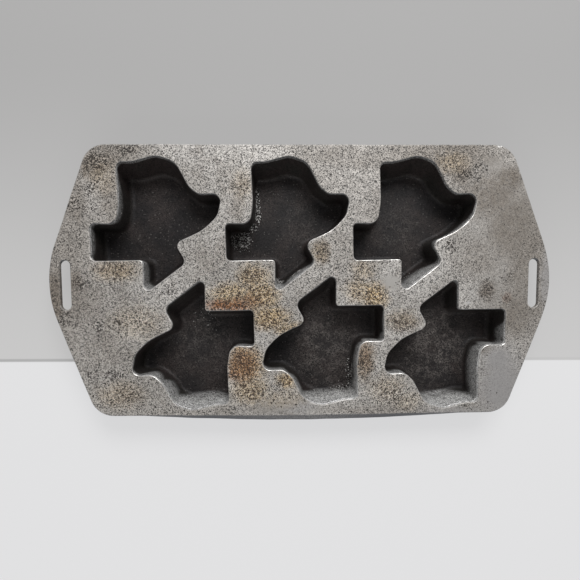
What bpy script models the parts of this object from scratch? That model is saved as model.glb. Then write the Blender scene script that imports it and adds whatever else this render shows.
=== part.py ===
"""A cast-iron cornbread pan with six state-shaped moulds, lying on its mould floors.

The real pan is one casting. It is modelled in the regions that a pattern maker would name: the
deck in three bays of two moulds each, a slotted handle end at each side, and six moulds that hang
under the deck. The origin is at the middle of the pan's footprint on the table, +X runs along the
pan and +Z points up, out of the moulds.
"""
import math
from typing import NamedTuple

import bmesh
import bpy
from mathutils import Matrix, Vector


class Corner(NamedTuple):
    """A corner of an outline, with its rounding and the side that follows it."""

    x: float
    y: float
    radius: float
    extra_slope: float = 0.0


class MouldPlace(NamedTuple):
    """Where a mould's middle lies on the deck, and how far the mould is turned."""

    name: str
    x: float
    y: float
    turn: float


# Deck plate, a long plate with leaning flanks and bowed ends
DECK_THICKNESS = 0.0042
FLANK_LEAN = math.radians(20.5)
DECK_CORNER_RADIUS = 0.0185
DECK_END_RADIUS = 0.0865

# The lower long edge keeps a sloping, bowed face where the casting was ground
GROUND_EDGE_BOW = 0.0058
GROUND_EDGE_CORNER_GAP = 0.0095
GROUND_EDGE_STEPS = 16

# Handle ends, each with one finger slot and a flat land before the nearest mould
HANDLE_LAND = 0.0090
SLOT_LENGTH = 0.0405
SLOT_WIDTH = 0.0102
SLOT_OUTER_BAR = 0.0074
SLOT_DROP = 0.0016

# Moulds
CAVITY_DEPTH = 0.027
FLOOR_THICKNESS = 0.0036
WALL_THICKNESS = 0.0034
WALL_DRAFT = math.radians(3.0)
LIP_RADIUS = 0.0008
FLOOR_FILLET = 0.004
OUTER_FILLET = 0.005

# Clearances and mesh fineness
SEAM_GAP = 0.0003
CUTTER_REACH = 0.002
ARC_STEP = math.radians(30.0)
ARC_LENGTH = 0.011
SLOT_ARC_STEP = math.radians(15.0)
FILLET_ANGLES = (0.0, math.pi / 4, math.pi / 2)
SHARP_ANGLE = math.radians(36.0)
WELD_DISTANCE = 0.000002

# Heights above the table
DECK_TOP = FLOOR_THICKNESS + CAVITY_DEPTH
DECK_UNDERSIDE = DECK_TOP - DECK_THICKNESS

# One mould outline at its mouth, about its own middle, with the broad coast side up. Each row is
# x, y, corner radius, and how much further in the foot of the wall after it lies, all in
# hundredths of the mould's length.
MOULD_LENGTH = 0.1047
OUTLINE_UNIT = MOULD_LENGTH / 100
MOULD_OUTLINE = (
    Corner(-46.4, -27.1, 2.4),
    Corner(-46.9, 1.0, 2.4),
    Corner(-28.5, 0.5, 6.7),
    Corner(-26.1, 16.4, 29.0),
    Corner(-27.1, 45.4, 3.9, 3.9),
    Corner(-16.4, 45.4, 14.5, 3.9),
    Corner(1.4, 50.2, 14.5, 3.9),
    Corner(15.0, 45.4, 13.5, 1.9),
    Corner(24.6, 27.1, 17.4),
    Corner(30.9, 22.2, 7.7),
    Corner(47.8, 22.7, 4.8),
    Corner(44.4, 6.3, 13.5),
    Corner(33.8, -4.8, 38.6),
    Corner(13.5, -14.0, 4.8),
    Corner(21.7, -28.5, 5.8),
    Corner(-6.3, -49.8, 3.9),
    Corner(-10.1, -48.8, 2.4),
    Corner(-10.1, -26.6, 1.0),
)
MOULD_CORNERS = tuple(Corner(*(OUTLINE_UNIT * value for value in row)) for row in MOULD_OUTLINE)
MOULD_WIDTH = (max(corner.x for corner in MOULD_CORNERS)
               - min(corner.x for corner in MOULD_CORNERS))

# Two rows of three moulds, the lower row turned round so that the shapes nest. A land is the
# distance between two neighbours, less than nothing where their corners pass each other, and a
# margin runs from the outermost mouth to the deck's edge.
UPPER_LANDS = (0.0034, 0.0009)
LOWER_LANDS = (0.0044, -0.0016)
LOWER_ROW_SHIFT = 0.0270
LOWER_MIDDLE_RISE = 0.0035
ROW_NESTING = 0.0097
UPPER_MARGIN = 0.00815
LOWER_MARGIN = 0.00315
LEFT_MARGIN = 0.0339
RIGHT_MARGIN = 0.0330

# The deck is as large as the rows and their margins make it
ROW_SPACING = MOULD_LENGTH - ROW_NESTING
LOWER_ROW_LENGTH = LOWER_ROW_SHIFT + 3 * MOULD_WIDTH + sum(LOWER_LANDS)
DECK_LENGTH = LEFT_MARGIN + LOWER_ROW_LENGTH + RIGHT_MARGIN
DECK_WIDTH = LOWER_MARGIN + ROW_SPACING + MOULD_LENGTH + UPPER_MARGIN
FIRST_COLUMN = LEFT_MARGIN + MOULD_WIDTH / 2 - DECK_LENGTH / 2
UPPER_ROW = DECK_WIDTH / 2 - UPPER_MARGIN - MOULD_LENGTH / 2
LOWER_ROW = UPPER_ROW - ROW_SPACING

# The seams between the deck's bays pass the west side of a mould: down beside its broad part,
# out round its wide arm, and on to a height below that arm
BROAD_PART_SEAM_GAP = 0.0110
WIDE_ARM_SEAM_GAP = 0.0031
SEAM_LEAVES_BROAD_PART = 0.0230
SEAM_MEETS_WIDE_ARM = 0.0030
SEAM_PASSES_WIDE_ARM = 0.0050

# Finishes: colour, roughness and metallic value
GROUND_IRON = ("ground_iron", (0.30, 0.29, 0.275, 1.0), 0.42, 0.75)
SEASONED_IRON = ("seasoned_iron", (0.030, 0.028, 0.028, 1.0), 0.50, 0.35)


def mould_rows() -> list:
    """Return where the moulds lie, as an upper and a lower row, each from the left."""
    rows = (
        ("upper", FIRST_COLUMN, UPPER_LANDS, UPPER_ROW, 0.0, 0.0),
        ("lower", FIRST_COLUMN + LOWER_ROW_SHIFT, LOWER_LANDS, LOWER_ROW,
         LOWER_MIDDLE_RISE, math.pi),
    )
    places = []
    for row, left_x, (left_land, right_land), y, middle_rise, turn in rows:
        middle_x = left_x + MOULD_WIDTH + left_land
        right_x = middle_x + MOULD_WIDTH + right_land
        places.append([
            MouldPlace(f"{row}_left", left_x, y, turn),
            MouldPlace(f"{row}_middle", middle_x, y + middle_rise, turn),
            MouldPlace(f"{row}_right", right_x, y, turn),
        ])
    return places


def clear_scene() -> None:
    """Remove every object that the scene holds."""
    for thing in list(bpy.data.objects):
        bpy.data.objects.remove(thing, do_unlink=True)


def make_collection(name: str) -> bpy.types.Collection:
    """Add a collection to the scene."""
    collection = bpy.data.collections.new(name)
    bpy.context.scene.collection.children.link(collection)
    return collection


def make_material(name: str, finish: tuple) -> bpy.types.Material:
    """Make a Principled material from a finish, named for the sub-part that wears it."""
    finish_name, colour, roughness, metallic = finish
    material = bpy.data.materials.new(f"{name}_{finish_name}")
    material.use_nodes = True
    shader = material.node_tree.nodes["Principled BSDF"]
    shader.inputs["Base Color"].default_value = colour
    shader.inputs["Roughness"].default_value = roughness
    shader.inputs["Metallic"].default_value = metallic
    return material


def crossing(point_a: Vector, along_a: Vector, point_b: Vector, along_b: Vector) -> Vector:
    """Return where two lines in the plane cross, each given by a point and a direction."""
    span = along_a.x * along_b.y - along_a.y * along_b.x
    offset = point_b - point_a
    distance = (offset.x * along_b.y - offset.y * along_b.x) / span
    return point_a + along_a * distance


def is_clockwise(points: list) -> bool:
    """Say whether a closed outline runs clockwise."""
    doubled_area = sum(
        points[index - 1].x * point.y - point.x * points[index - 1].y
        for index, point in enumerate(points)
    )
    return doubled_area < 0.0


def side_lines(points: list, insets: list) -> list:
    """Return each side of an outline, moved inwards, as a point and a direction."""
    inward_turn = -math.pi / 2 if is_clockwise(points) else math.pi / 2
    lines = []
    for index, start in enumerate(points):
        end = points[(index + 1) % len(points)]
        along = (end - start).normalized()
        inward = Matrix.Rotation(inward_turn, 2) @ along
        lines.append((start + inward * insets[index], along))
    return lines


def moved_corners(corners: tuple, inset: float, share: float) -> list:
    """Return an outline's corners after each side has moved inwards.

    A side moves by the inset and by its share of its extra slope. Where a short side is used up,
    its two corners meet where the sides beside it cross.
    """
    points = [Vector((corner.x, corner.y)) for corner in corners]
    insets = [inset + corner.extra_slope * share for corner in corners]
    lines = side_lines(points, insets)
    count = len(points)
    moved = [crossing(*lines[index - 1], *lines[index]) for index in range(count)]
    for index in range(count):
        following = (index + 1) % count
        if (moved[following] - moved[index]).dot(lines[index][1]) <= 0.0:
            meeting = crossing(*lines[index - 1], *lines[following])
            moved[index] = meeting
            moved[following] = meeting.copy()
    return moved


def rounded_corners(corners: tuple, inset: float = 0.0, share: float = 0.0) -> list:
    """Return the arc at each corner of an outline, the arcs in order.

    Outlines of the same corners have as many points at any inset, so they can be lofted. A corner
    that turns with the outline gets a smaller radius further in, and one that turns against it a
    larger one.
    """
    original = [Vector((corner.x, corner.y)) for corner in corners]
    clockwise = is_clockwise(original)
    moved = moved_corners(corners, inset, share)
    count = len(moved)
    arcs = []
    for index, corner in enumerate(corners):
        arriving = original[index] - original[index - 1]
        leaving = original[(index + 1) % count] - original[index]
        turn = arriving.angle_signed(leaving)
        turns_with_outline = (turn > 0.0) == clockwise
        length = abs(turn) * corner.radius
        steps = max(math.ceil(abs(turn) / ARC_STEP), math.ceil(length / ARC_LENGTH))
        radius = corner.radius + (-inset if turns_with_outline else inset)
        arcs.append(corner_arc(moved, index, max(radius, 0.0), steps))
    return arcs


def rounded_outline(corners: tuple, inset: float = 0.0, share: float = 0.0) -> list:
    """Return the points of an outline with every corner rounded."""
    return [point for arc in rounded_corners(corners, inset, share) for point in arc]


def corner_arc(points: list, index: int, radius: float, steps: int) -> list:
    """Return the arc that rounds one corner, limited by the sides beside it."""
    corner = points[index]
    back = points[index - 1] - corner
    ahead = points[(index + 1) % len(points)] - corner
    if min(back.length, ahead.length) < WELD_DISTANCE:
        return [corner.copy() for _ in range(steps + 1)]
    half_angle = back.angle(ahead) / 2
    longest_tangent = min(back.length, ahead.length) / 2
    tangent = min(radius / math.tan(half_angle), longest_tangent)
    start = corner + back.normalized() * tangent
    end = corner + ahead.normalized() * tangent
    if tangent < WELD_DISTANCE:
        return [corner.copy() for _ in range(steps + 1)]
    middle = (back.normalized() + ahead.normalized()).normalized()
    centre = corner + middle * (tangent / math.cos(half_angle))
    sweep = (start - centre).angle_signed(end - centre)
    return [centre + Matrix.Rotation(-sweep * step / steps, 2) @ (start - centre)
            for step in range(steps + 1)]


def loft(name: str, rings: list, collection: bpy.types.Collection) -> bpy.types.Object:
    """Make a closed solid through outlines at rising or falling heights.

    Args:
        name: the object's name.
        rings: pairs of an outline and its height, each outline with as many points.
        collection: the collection that takes the object.

    Returns:
        The new object.
    """
    solid = bmesh.new()
    loops = [[solid.verts.new((point.x, point.y, height)) for point in outline]
             for outline, height in rings]
    for lower, upper in zip(loops, loops[1:]):
        for index in range(len(lower)):
            solid.faces.new((lower[index - 1], lower[index], upper[index], upper[index - 1]))
    solid.faces.new(loops[0])
    solid.faces.new(loops[-1])
    bmesh.ops.remove_doubles(solid, verts=solid.verts, dist=WELD_DISTANCE)
    bmesh.ops.recalc_face_normals(solid, faces=solid.faces)
    mesh = bpy.data.meshes.new(name)
    solid.to_mesh(mesh)
    solid.free()
    thing = bpy.data.objects.new(name, mesh)
    collection.objects.link(thing)
    return thing


def cut(thing: bpy.types.Object, cutter: bpy.types.Object, operation: str = "DIFFERENCE") -> None:
    """Add a Boolean modifier, and draw its cutter as a wire that no render shows."""
    modifier = thing.modifiers.new(f"{operation.lower()}_{cutter.name}", "BOOLEAN")
    modifier.operation = operation
    modifier.solver = "EXACT"
    modifier.object = cutter
    cutter.hide_render = True
    cutter.display_type = "WIRE"


def finish_part(thing: bpy.types.Object, finish: tuple) -> None:
    """Give a sub-part its material and its shading."""
    thing.data.materials.append(make_material(thing.name, finish))
    thing.data.shade_smooth()
    thing.data.set_sharp_from_angle(angle=SHARP_ANGLE)


def deck_corners() -> tuple:
    """Return the corners of the deck's outline, whose bowed ends are rounded points."""
    half_width = DECK_WIDTH / 2
    point_beyond_end = DECK_END_RADIUS * (1 / math.cos(FLANK_LEAN) - 1)
    point_x = DECK_LENGTH / 2 + point_beyond_end
    corner_x = point_x - half_width * math.tan(FLANK_LEAN)
    return (
        Corner(-corner_x, -half_width, DECK_CORNER_RADIUS),
        Corner(corner_x, -half_width, DECK_CORNER_RADIUS),
        Corner(point_x, 0.0, DECK_END_RADIUS),
        Corner(corner_x, half_width, DECK_CORNER_RADIUS),
        Corner(-corner_x, half_width, DECK_CORNER_RADIUS),
        Corner(-point_x, 0.0, DECK_END_RADIUS),
    )


def deck_outline(bow: float) -> list:
    """Return the deck's outline, with its lower long edge bowed out by the given depth."""
    lower_left, *other_arcs = rounded_corners(deck_corners())
    corner_end = lower_left[-1]
    half_length = -corner_end.x - GROUND_EDGE_CORNER_GAP
    shares = [2 * step / GROUND_EDGE_STEPS - 1 for step in range(GROUND_EDGE_STEPS + 1)]
    lower_side = [Vector((half_length * share, corner_end.y - bow * (1 - share * share)))
                  for share in shares]
    return lower_left + lower_side + [point for arc in other_arcs for point in arc]


def deck_blank(name: str, collection: bpy.types.Collection) -> bpy.types.Object:
    """Make the whole plate, before it is parted and its mouths are cut."""
    rings = [
        (deck_outline(GROUND_EDGE_BOW), DECK_UNDERSIDE),
        (deck_outline(0.0), DECK_TOP),
    ]
    return loft(name, rings, collection)


def wall_inset(depth: float) -> float:
    """Return how far in the cavity's wall lies at a depth below the deck."""
    return LIP_RADIUS + (depth - LIP_RADIUS) * math.tan(WALL_DRAFT)


def slope_share(depth: float) -> float:
    """Return the share of a side's extra slope that is reached at a depth below the deck."""
    wall_foot = CAVITY_DEPTH - FLOOR_FILLET
    return min(max((depth - LIP_RADIUS) / (wall_foot - LIP_RADIUS), 0.0), 1.0)


def mould_ring(depth: float, inset: float) -> tuple:
    """Return one ring of a mould: its outline and its height above the table."""
    return rounded_outline(MOULD_CORNERS, inset, slope_share(depth)), DECK_TOP - depth


def mouth_rings() -> list:
    """Return the rings that cut a mould's mouth through the deck, with a rounded lip."""
    above = (rounded_outline(MOULD_CORNERS), DECK_TOP + CUTTER_REACH)
    lip = [
        mould_ring(LIP_RADIUS * (1 - math.cos(angle)), LIP_RADIUS * math.sin(angle))
        for angle in FILLET_ANGLES
    ]
    below = DECK_THICKNESS + CUTTER_REACH
    return [above] + lip + [mould_ring(below, wall_inset(below))]


def cavity_rings() -> list:
    """Return the rings of a cavity from the deck's thickness down to its floor."""
    wall_foot = CAVITY_DEPTH - FLOOR_FILLET
    foot_inset = wall_inset(wall_foot)
    fillet = [
        mould_ring(wall_foot + FLOOR_FILLET * math.sin(angle),
                   foot_inset + FLOOR_FILLET * (1 - math.cos(angle)))
        for angle in FILLET_ANGLES
    ]
    top = DECK_THICKNESS - CUTTER_REACH
    return [mould_ring(top, wall_inset(top))] + fillet


def shell_rings() -> list:
    """Return the rings of a mould's outer skin, from its seat under the deck to the table."""
    seat = DECK_THICKNESS + SEAM_GAP
    whole = CAVITY_DEPTH + FLOOR_THICKNESS
    skin_foot = whole - OUTER_FILLET
    fillet = [
        mould_ring(skin_foot + OUTER_FILLET * math.sin(angle),
                   wall_inset(skin_foot) - WALL_THICKNESS + OUTER_FILLET * (1 - math.cos(angle)))
        for angle in FILLET_ANGLES
    ]
    return [mould_ring(seat, wall_inset(seat) - WALL_THICKNESS)] + fillet


def place_mould(thing: bpy.types.Object, place: MouldPlace, parent: bpy.types.Object) -> None:
    """Set a mould or one of its cutters at its place on the deck."""
    thing.location = (place.x, place.y, 0.0)
    thing.rotation_euler = (0.0, 0.0, place.turn)
    thing.parent = parent


def make_mould(place: MouldPlace, pan: bpy.types.Object, parts: bpy.types.Collection,
               cutters: bpy.types.Collection) -> None:
    """Make one mould: a drafted wall and a flat floor, seated under the deck."""
    mould = loft(f"mould_{place.name}", shell_rings(), parts)
    cavity = loft(f"cavity_{place.name}", cavity_rings(), cutters)
    for thing in (mould, cavity):
        place_mould(thing, place, pan)
    cut(mould, cavity)
    finish_part(mould, SEASONED_IRON)


def seam_beside(place: MouldPlace) -> list:
    """Return the seam's points past one mould's west side, from its broad part on."""
    _, arm_top, _, broad_foot, broad_top, *_ = MOULD_CORNERS
    arm_foot = MOULD_CORNERS[0]
    beside_broad_part = broad_top.x - BROAD_PART_SEAM_GAP
    beside_wide_arm = arm_top.x - WIDE_ARM_SEAM_GAP
    points = (
        Vector((beside_broad_part, DECK_WIDTH)),
        Vector((beside_broad_part, arm_top.y + SEAM_LEAVES_BROAD_PART)),
        Vector((beside_wide_arm, arm_top.y + SEAM_MEETS_WIDE_ARM)),
        Vector((beside_wide_arm, arm_foot.y - SEAM_PASSES_WIDE_ARM)),
    )
    middle = Vector((place.x, place.y))
    return [middle + Matrix.Rotation(place.turn, 2) @ point for point in points]


def straight_seam(x: float) -> list:
    """Return a seam straight across the deck."""
    return [Vector((x, DECK_WIDTH)), Vector((x, -DECK_WIDTH))]


def deck_seams() -> list:
    """Return the lines that part the plate's regions, from the left, each from the top down."""
    upper_row, lower_row = mould_rows()
    between_bays = [
        seam_beside(upper) + seam_beside(lower)[::-1]
        for upper, lower in zip(upper_row[1:], lower_row)
    ]
    half_length = DECK_LENGTH / 2
    left_handle_seam = straight_seam(-half_length + LEFT_MARGIN - HANDLE_LAND)
    right_handle_seam = straight_seam(half_length - RIGHT_MARGIN + HANDLE_LAND)
    return [
        straight_seam(-DECK_LENGTH),
        left_handle_seam,
        *between_bays,
        right_handle_seam,
        straight_seam(DECK_LENGTH),
    ]


def plate_region(name: str, left_seam: list, right_seam: list, pan: bpy.types.Object,
                 parts: bpy.types.Collection, cutters: bpy.types.Collection) -> bpy.types.Object:
    """Make the part of the plate between two seams, half a seam gap inside each."""
    half_gap = Vector((SEAM_GAP / 2, 0.0))
    outline = ([point + half_gap for point in left_seam]
               + [point - half_gap for point in reversed(right_seam)])
    zone = loft(f"zone_{name}", [(outline, -CUTTER_REACH), (outline, DECK_TOP + CUTTER_REACH)],
                cutters)
    region = deck_blank(name, parts)
    for thing in (region, zone):
        thing.parent = pan
    cut(region, zone, "INTERSECT")
    return region


def slot_rings() -> list:
    """Return the rings of a finger slot, a long hole with round ends."""
    half_width = SLOT_WIDTH / 2
    half_run = SLOT_LENGTH / 2 - half_width
    steps = math.ceil(math.pi / SLOT_ARC_STEP)
    upper_end = [
        Vector((half_width * math.cos(angle), half_run + half_width * math.sin(angle)))
        for angle in (math.pi * step / steps for step in range(steps + 1))
    ]
    outline = upper_end + [-point for point in upper_end]
    return [(outline, DECK_UNDERSIDE - CUTTER_REACH), (outline, DECK_TOP + CUTTER_REACH)]


def cut_slot(handle: bpy.types.Object, side: int, pan: bpy.types.Object,
             cutters: bpy.types.Collection) -> None:
    """Cut the finger slot through the handle end at the left (-1) or the right (1)."""
    slot = loft(f"slot_{handle.name}", slot_rings(), cutters)
    slot_x = DECK_LENGTH / 2 - SLOT_OUTER_BAR - SLOT_WIDTH / 2
    slot.location = (side * slot_x, -SLOT_DROP, 0.0)
    slot.parent = pan
    cut(handle, slot)


def cut_mouths(bay: bpy.types.Object, places: tuple, pan: bpy.types.Object,
               cutters: bpy.types.Collection) -> None:
    """Cut the mouths of a bay's moulds through the deck."""
    for place in places:
        mouth = loft(f"mouth_{place.name}", mouth_rings(), cutters)
        place_mould(mouth, place, pan)
        cut(bay, mouth)


def make_plate(pan: bpy.types.Object, parts: bpy.types.Collection,
               cutters: bpy.types.Collection) -> None:
    """Make the plate: a handle end, the deck's three bays and the other handle end."""
    names = ("left_handle_end", "deck_left_bay", "deck_middle_bay", "deck_right_bay",
             "right_handle_end")
    seams = deck_seams()
    left_handle, *bays, right_handle = [
        plate_region(name, left_seam, right_seam, pan, parts, cutters)
        for name, left_seam, right_seam in zip(names, seams, seams[1:])
    ]
    cut_slot(left_handle, -1, pan, cutters)
    cut_slot(right_handle, 1, pan, cutters)
    for bay, places in zip(bays, zip(*mould_rows())):
        cut_mouths(bay, places, pan, cutters)
    for region in (left_handle, *bays, right_handle):
        finish_part(region, GROUND_IRON)


def make_pan() -> None:
    """Make the whole pan, round an empty that centres its footprint on the origin."""
    clear_scene()
    parts = make_collection("cornbread_pan")
    cutters = make_collection("cutters")
    pan = bpy.data.objects.new("pan", None)
    pan.location = (0.0, GROUND_EDGE_BOW / 2, 0.0)
    parts.objects.link(pan)
    make_plate(pan, parts, cutters)
    for row in mould_rows():
        for place in row:
            make_mould(place, pan, parts, cutters)
    bpy.context.view_layer.update()


make_pan()
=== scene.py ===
"""A cast-iron cornbread pan with six state-shaped moulds, dressed over its CAD frame.

The deck with its handle ends is one casting here, and each mould is a cup that hangs in its
mouth. Lengths are in metres. X runs along the pan, Y across it and Z up, out of the moulds.
"""
import logging
import math
from collections.abc import Iterable, Sequence
from dataclasses import dataclass
from enum import Enum, IntEnum
from functools import partial, reduce

import bmesh
import bpy
from mathutils import Euler, Matrix, Vector, noise


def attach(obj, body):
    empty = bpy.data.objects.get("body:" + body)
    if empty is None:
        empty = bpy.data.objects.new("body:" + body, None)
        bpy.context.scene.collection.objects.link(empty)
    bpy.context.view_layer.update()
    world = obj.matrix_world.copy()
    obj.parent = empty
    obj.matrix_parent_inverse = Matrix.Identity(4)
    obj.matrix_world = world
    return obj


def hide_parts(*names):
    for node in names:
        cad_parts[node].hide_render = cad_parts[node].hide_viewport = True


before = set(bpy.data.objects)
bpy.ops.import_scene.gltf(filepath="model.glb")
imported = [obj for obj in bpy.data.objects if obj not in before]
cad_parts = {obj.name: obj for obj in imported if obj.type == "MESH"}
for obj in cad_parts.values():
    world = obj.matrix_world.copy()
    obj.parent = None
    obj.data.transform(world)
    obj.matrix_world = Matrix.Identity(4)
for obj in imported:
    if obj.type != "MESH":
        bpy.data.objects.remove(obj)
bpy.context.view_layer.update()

LOG = logging.getLogger("cornbread_pan")
ROOT_BODY = "root"
MM_IN_METRE = 1000
Colour = tuple[float, float, float]
Span = tuple[float, float]


class Slot(Enum):
    """The record's material slots."""

    GROUND = "ground_iron"
    SEASONED = "seasoned_iron"


class Row(Enum):
    """The two rows of moulds, with how far each row's moulds are turned."""

    UPPER = 0.0
    LOWER = math.pi


class MouldFinish(IntEnum):
    """The order of a mould's materials."""

    SKIN = 0
    SEASONED = 1
    CRUST = 2


# Outlines

@dataclass(frozen=True)
class Corner:
    """A corner of an outline, its rounding, and how far the wall after it leans in at its foot."""

    x: float
    y: float
    radius: float
    lean: float = 0.0


@dataclass(frozen=True)
class Fineness:
    """How finely outlines are drawn."""

    arc_step: float = math.radians(6.0)
    arc_length: float = 0.0025
    side_length: float = 0.0030
    same_point: float = 0.000002
    seam: float = 0.000004
    rounding_steps: int = 7


FINENESS = Fineness()


class Outline:
    """A closed outline of straight sides and rounded corners.

    It keeps as many points at any inset, so its rings can be lofted.
    """

    def __init__(self, corners: Sequence[Corner]) -> None:
        """Take the corners in order, either way round.

        Args:
            corners: the outline's corners.
        """
        self.corners = corners
        self.points = [Vector((corner.x, corner.y)) for corner in corners]
        self.clockwise = self._signed_area() < 0.0
        self.side_steps = self._side_steps()

    def _signed_area(self) -> float:
        """Return twice the area inside, less than nothing for a clockwise outline."""
        return sum(self.points[index - 1].cross(point) for index, point in enumerate(self.points))

    def _side_steps(self) -> list[int]:
        """Return into how many steps the straight part of each side is cut.

        Returns:
            The number of steps after each corner.
        """
        arcs = self._arcs(0.0, 0.0)
        steps = []
        for index, arc in enumerate(arcs):
            following = arcs[(index + 1) % len(arcs)]
            length = (following[0] - arc[-1]).length
            steps.append(max(1, math.ceil(length / FINENESS.side_length)))
        return steps

    def _side_lines(self, insets: Sequence[float]) -> list[tuple[Vector, Vector]]:
        """Return each side, moved inwards by its inset, as a point and a direction.

        Args:
            insets: how far each side moves.

        Returns:
            The sides' lines, in order.
        """
        inward_turn = Matrix.Rotation(-math.pi / 2 if self.clockwise else math.pi / 2, 2)
        lines = []
        for index, start in enumerate(self.points):
            end = self.points[(index + 1) % len(self.points)]
            along = (end - start).normalized()
            lines.append((start + inward_turn @ along * insets[index], along))
        return lines

    @staticmethod
    def _crossing(first: tuple[Vector, Vector], second: tuple[Vector, Vector]) -> Vector:
        """Return where two lines cross.

        Args:
            first: a line's point and direction.
            second: the other line's.

        Returns:
            The crossing.
        """
        (point_a, along_a), (point_b, along_b) = first, second
        distance = (point_b - point_a).cross(along_b) / along_a.cross(along_b)
        return point_a + along_a * distance

    def _moved_corners(self, inset: float, lean_share: float) -> list[Vector]:
        """Return the corners after every side has moved inwards.

        Args:
            inset: how far each side moves.
            lean_share: the share of each side's own lean that is added.

        Returns:
            The corners. Where a short side is used up, its two corners are in one place.
        """
        lines = self._side_lines([inset + corner.lean * lean_share for corner in self.corners])
        count = len(lines)
        moved = [self._crossing(lines[index - 1], lines[index]) for index in range(count)]
        for index in range(count):
            following = (index + 1) % count
            if (moved[following] - moved[index]).dot(lines[index][1]) <= 0.0:
                meeting = self._crossing(lines[index - 1], lines[following])
                moved[index] = meeting
                moved[following] = meeting.copy()
        return moved

    def _arcs(self, inset: float, lean_share: float) -> list[list[Vector]]:
        """Return the arc at each corner, in order.

        Args:
            inset: how far each side moves inwards.
            lean_share: the share of each side's own lean that is added.

        Returns:
            The points of each arc.
        """
        moved = self._moved_corners(inset, lean_share)
        arcs = []
        for index, corner in enumerate(self.corners):
            arriving = self.points[index] - self.points[index - 1]
            leaving = self.points[(index + 1) % len(self.points)] - self.points[index]
            turn = arriving.angle_signed(leaving)
            with_outline = (turn > 0.0) == self.clockwise
            steps = max(math.ceil(abs(turn) / FINENESS.arc_step),
                        math.ceil(abs(turn) * corner.radius / FINENESS.arc_length))
            radius = corner.radius + (-inset if with_outline else inset)
            arcs.append(self._arc(moved, index, max(radius, 0.0), steps))
        return arcs

    @staticmethod
    def _arc(points: Sequence[Vector], index: int, radius: float, steps: int) -> list[Vector]:
        """Return the arc that rounds one corner, limited by the sides beside it.

        Args:
            points: the outline's corners.
            index: the corner.
            radius: its rounding.
            steps: into how many steps the arc is cut.

        Returns:
            The points of the arc.
        """
        corner = points[index]
        back = points[index - 1] - corner
        ahead = points[(index + 1) % len(points)] - corner
        shorter = min(back.length, ahead.length)
        if shorter < FINENESS.same_point:
            return [corner.copy() for _ in range(steps + 1)]
        half_angle = back.angle(ahead) / 2
        tangent = min(radius / math.tan(half_angle), shorter / 2)
        if tangent < FINENESS.same_point:
            return [corner.copy() for _ in range(steps + 1)]
        start = corner + back.normalized() * tangent
        end = corner + ahead.normalized() * tangent
        middle = (back.normalized() + ahead.normalized()).normalized()
        centre = corner + middle * (tangent / math.cos(half_angle))
        sweep = (start - centre).angle_signed(end - centre)
        return [centre + Matrix.Rotation(-sweep * step / steps, 2) @ (start - centre)
                for step in range(steps + 1)]

    def ring(self, inset: float = 0.0, lean_share: float = 0.0) -> list[Vector]:
        """Return the outline's points at an inset.

        Args:
            inset: how far in the sides lie.
            lean_share: the share of each side's own lean that is added.

        Returns:
            The points, as many as at any other inset.
        """
        arcs = self._arcs(inset, lean_share)
        ring = []
        for index, arc in enumerate(arcs):
            ring += arc
            following = arcs[(index + 1) % len(arcs)][0]
            count = self.side_steps[index]
            ring += [arc[-1].lerp(following, step / count) for step in range(1, count)]
        return ring


# Sizes

MOULD_LENGTH = 0.1047
OUTLINE_UNIT = MOULD_LENGTH / 100

# One mould at its mouth, about its own middle, in hundredths of the mould's length
MOULD_OUTLINE = (
    Corner(-46.4, -27.1, 3.6),
    Corner(-46.9, 1.0, 3.6),
    Corner(-28.5, 0.5, 6.7),
    Corner(-26.1, 16.4, 29.0),
    Corner(-27.1, 45.4, 5.0, 3.9),
    Corner(-16.4, 45.4, 14.5, 3.9),
    Corner(1.4, 50.2, 14.5, 3.9),
    Corner(15.0, 45.4, 13.5, 1.9),
    Corner(24.6, 27.1, 17.4),
    Corner(30.9, 22.2, 7.7),
    Corner(47.8, 22.7, 6.0),
    Corner(44.4, 6.3, 13.5),
    Corner(33.8, -4.8, 38.6),
    Corner(13.5, -14.0, 4.8),
    Corner(21.7, -28.5, 5.8, 4.3),
    Corner(-10.1, -52.7, 4.0),
    Corner(-10.1, -26.6, 2.0),
)


@dataclass(frozen=True)
class MouldPlace:
    """Where a mould's middle lies, and which way its row faces."""

    name: str
    x: float
    y: float
    row: Row

    def to_pan(self, point: Vector) -> Vector:
        """Return a point of the mould's own plane in the pan's plane."""
        return Matrix.Rotation(self.row.value, 2) @ point + Vector((self.x, self.y))


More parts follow.
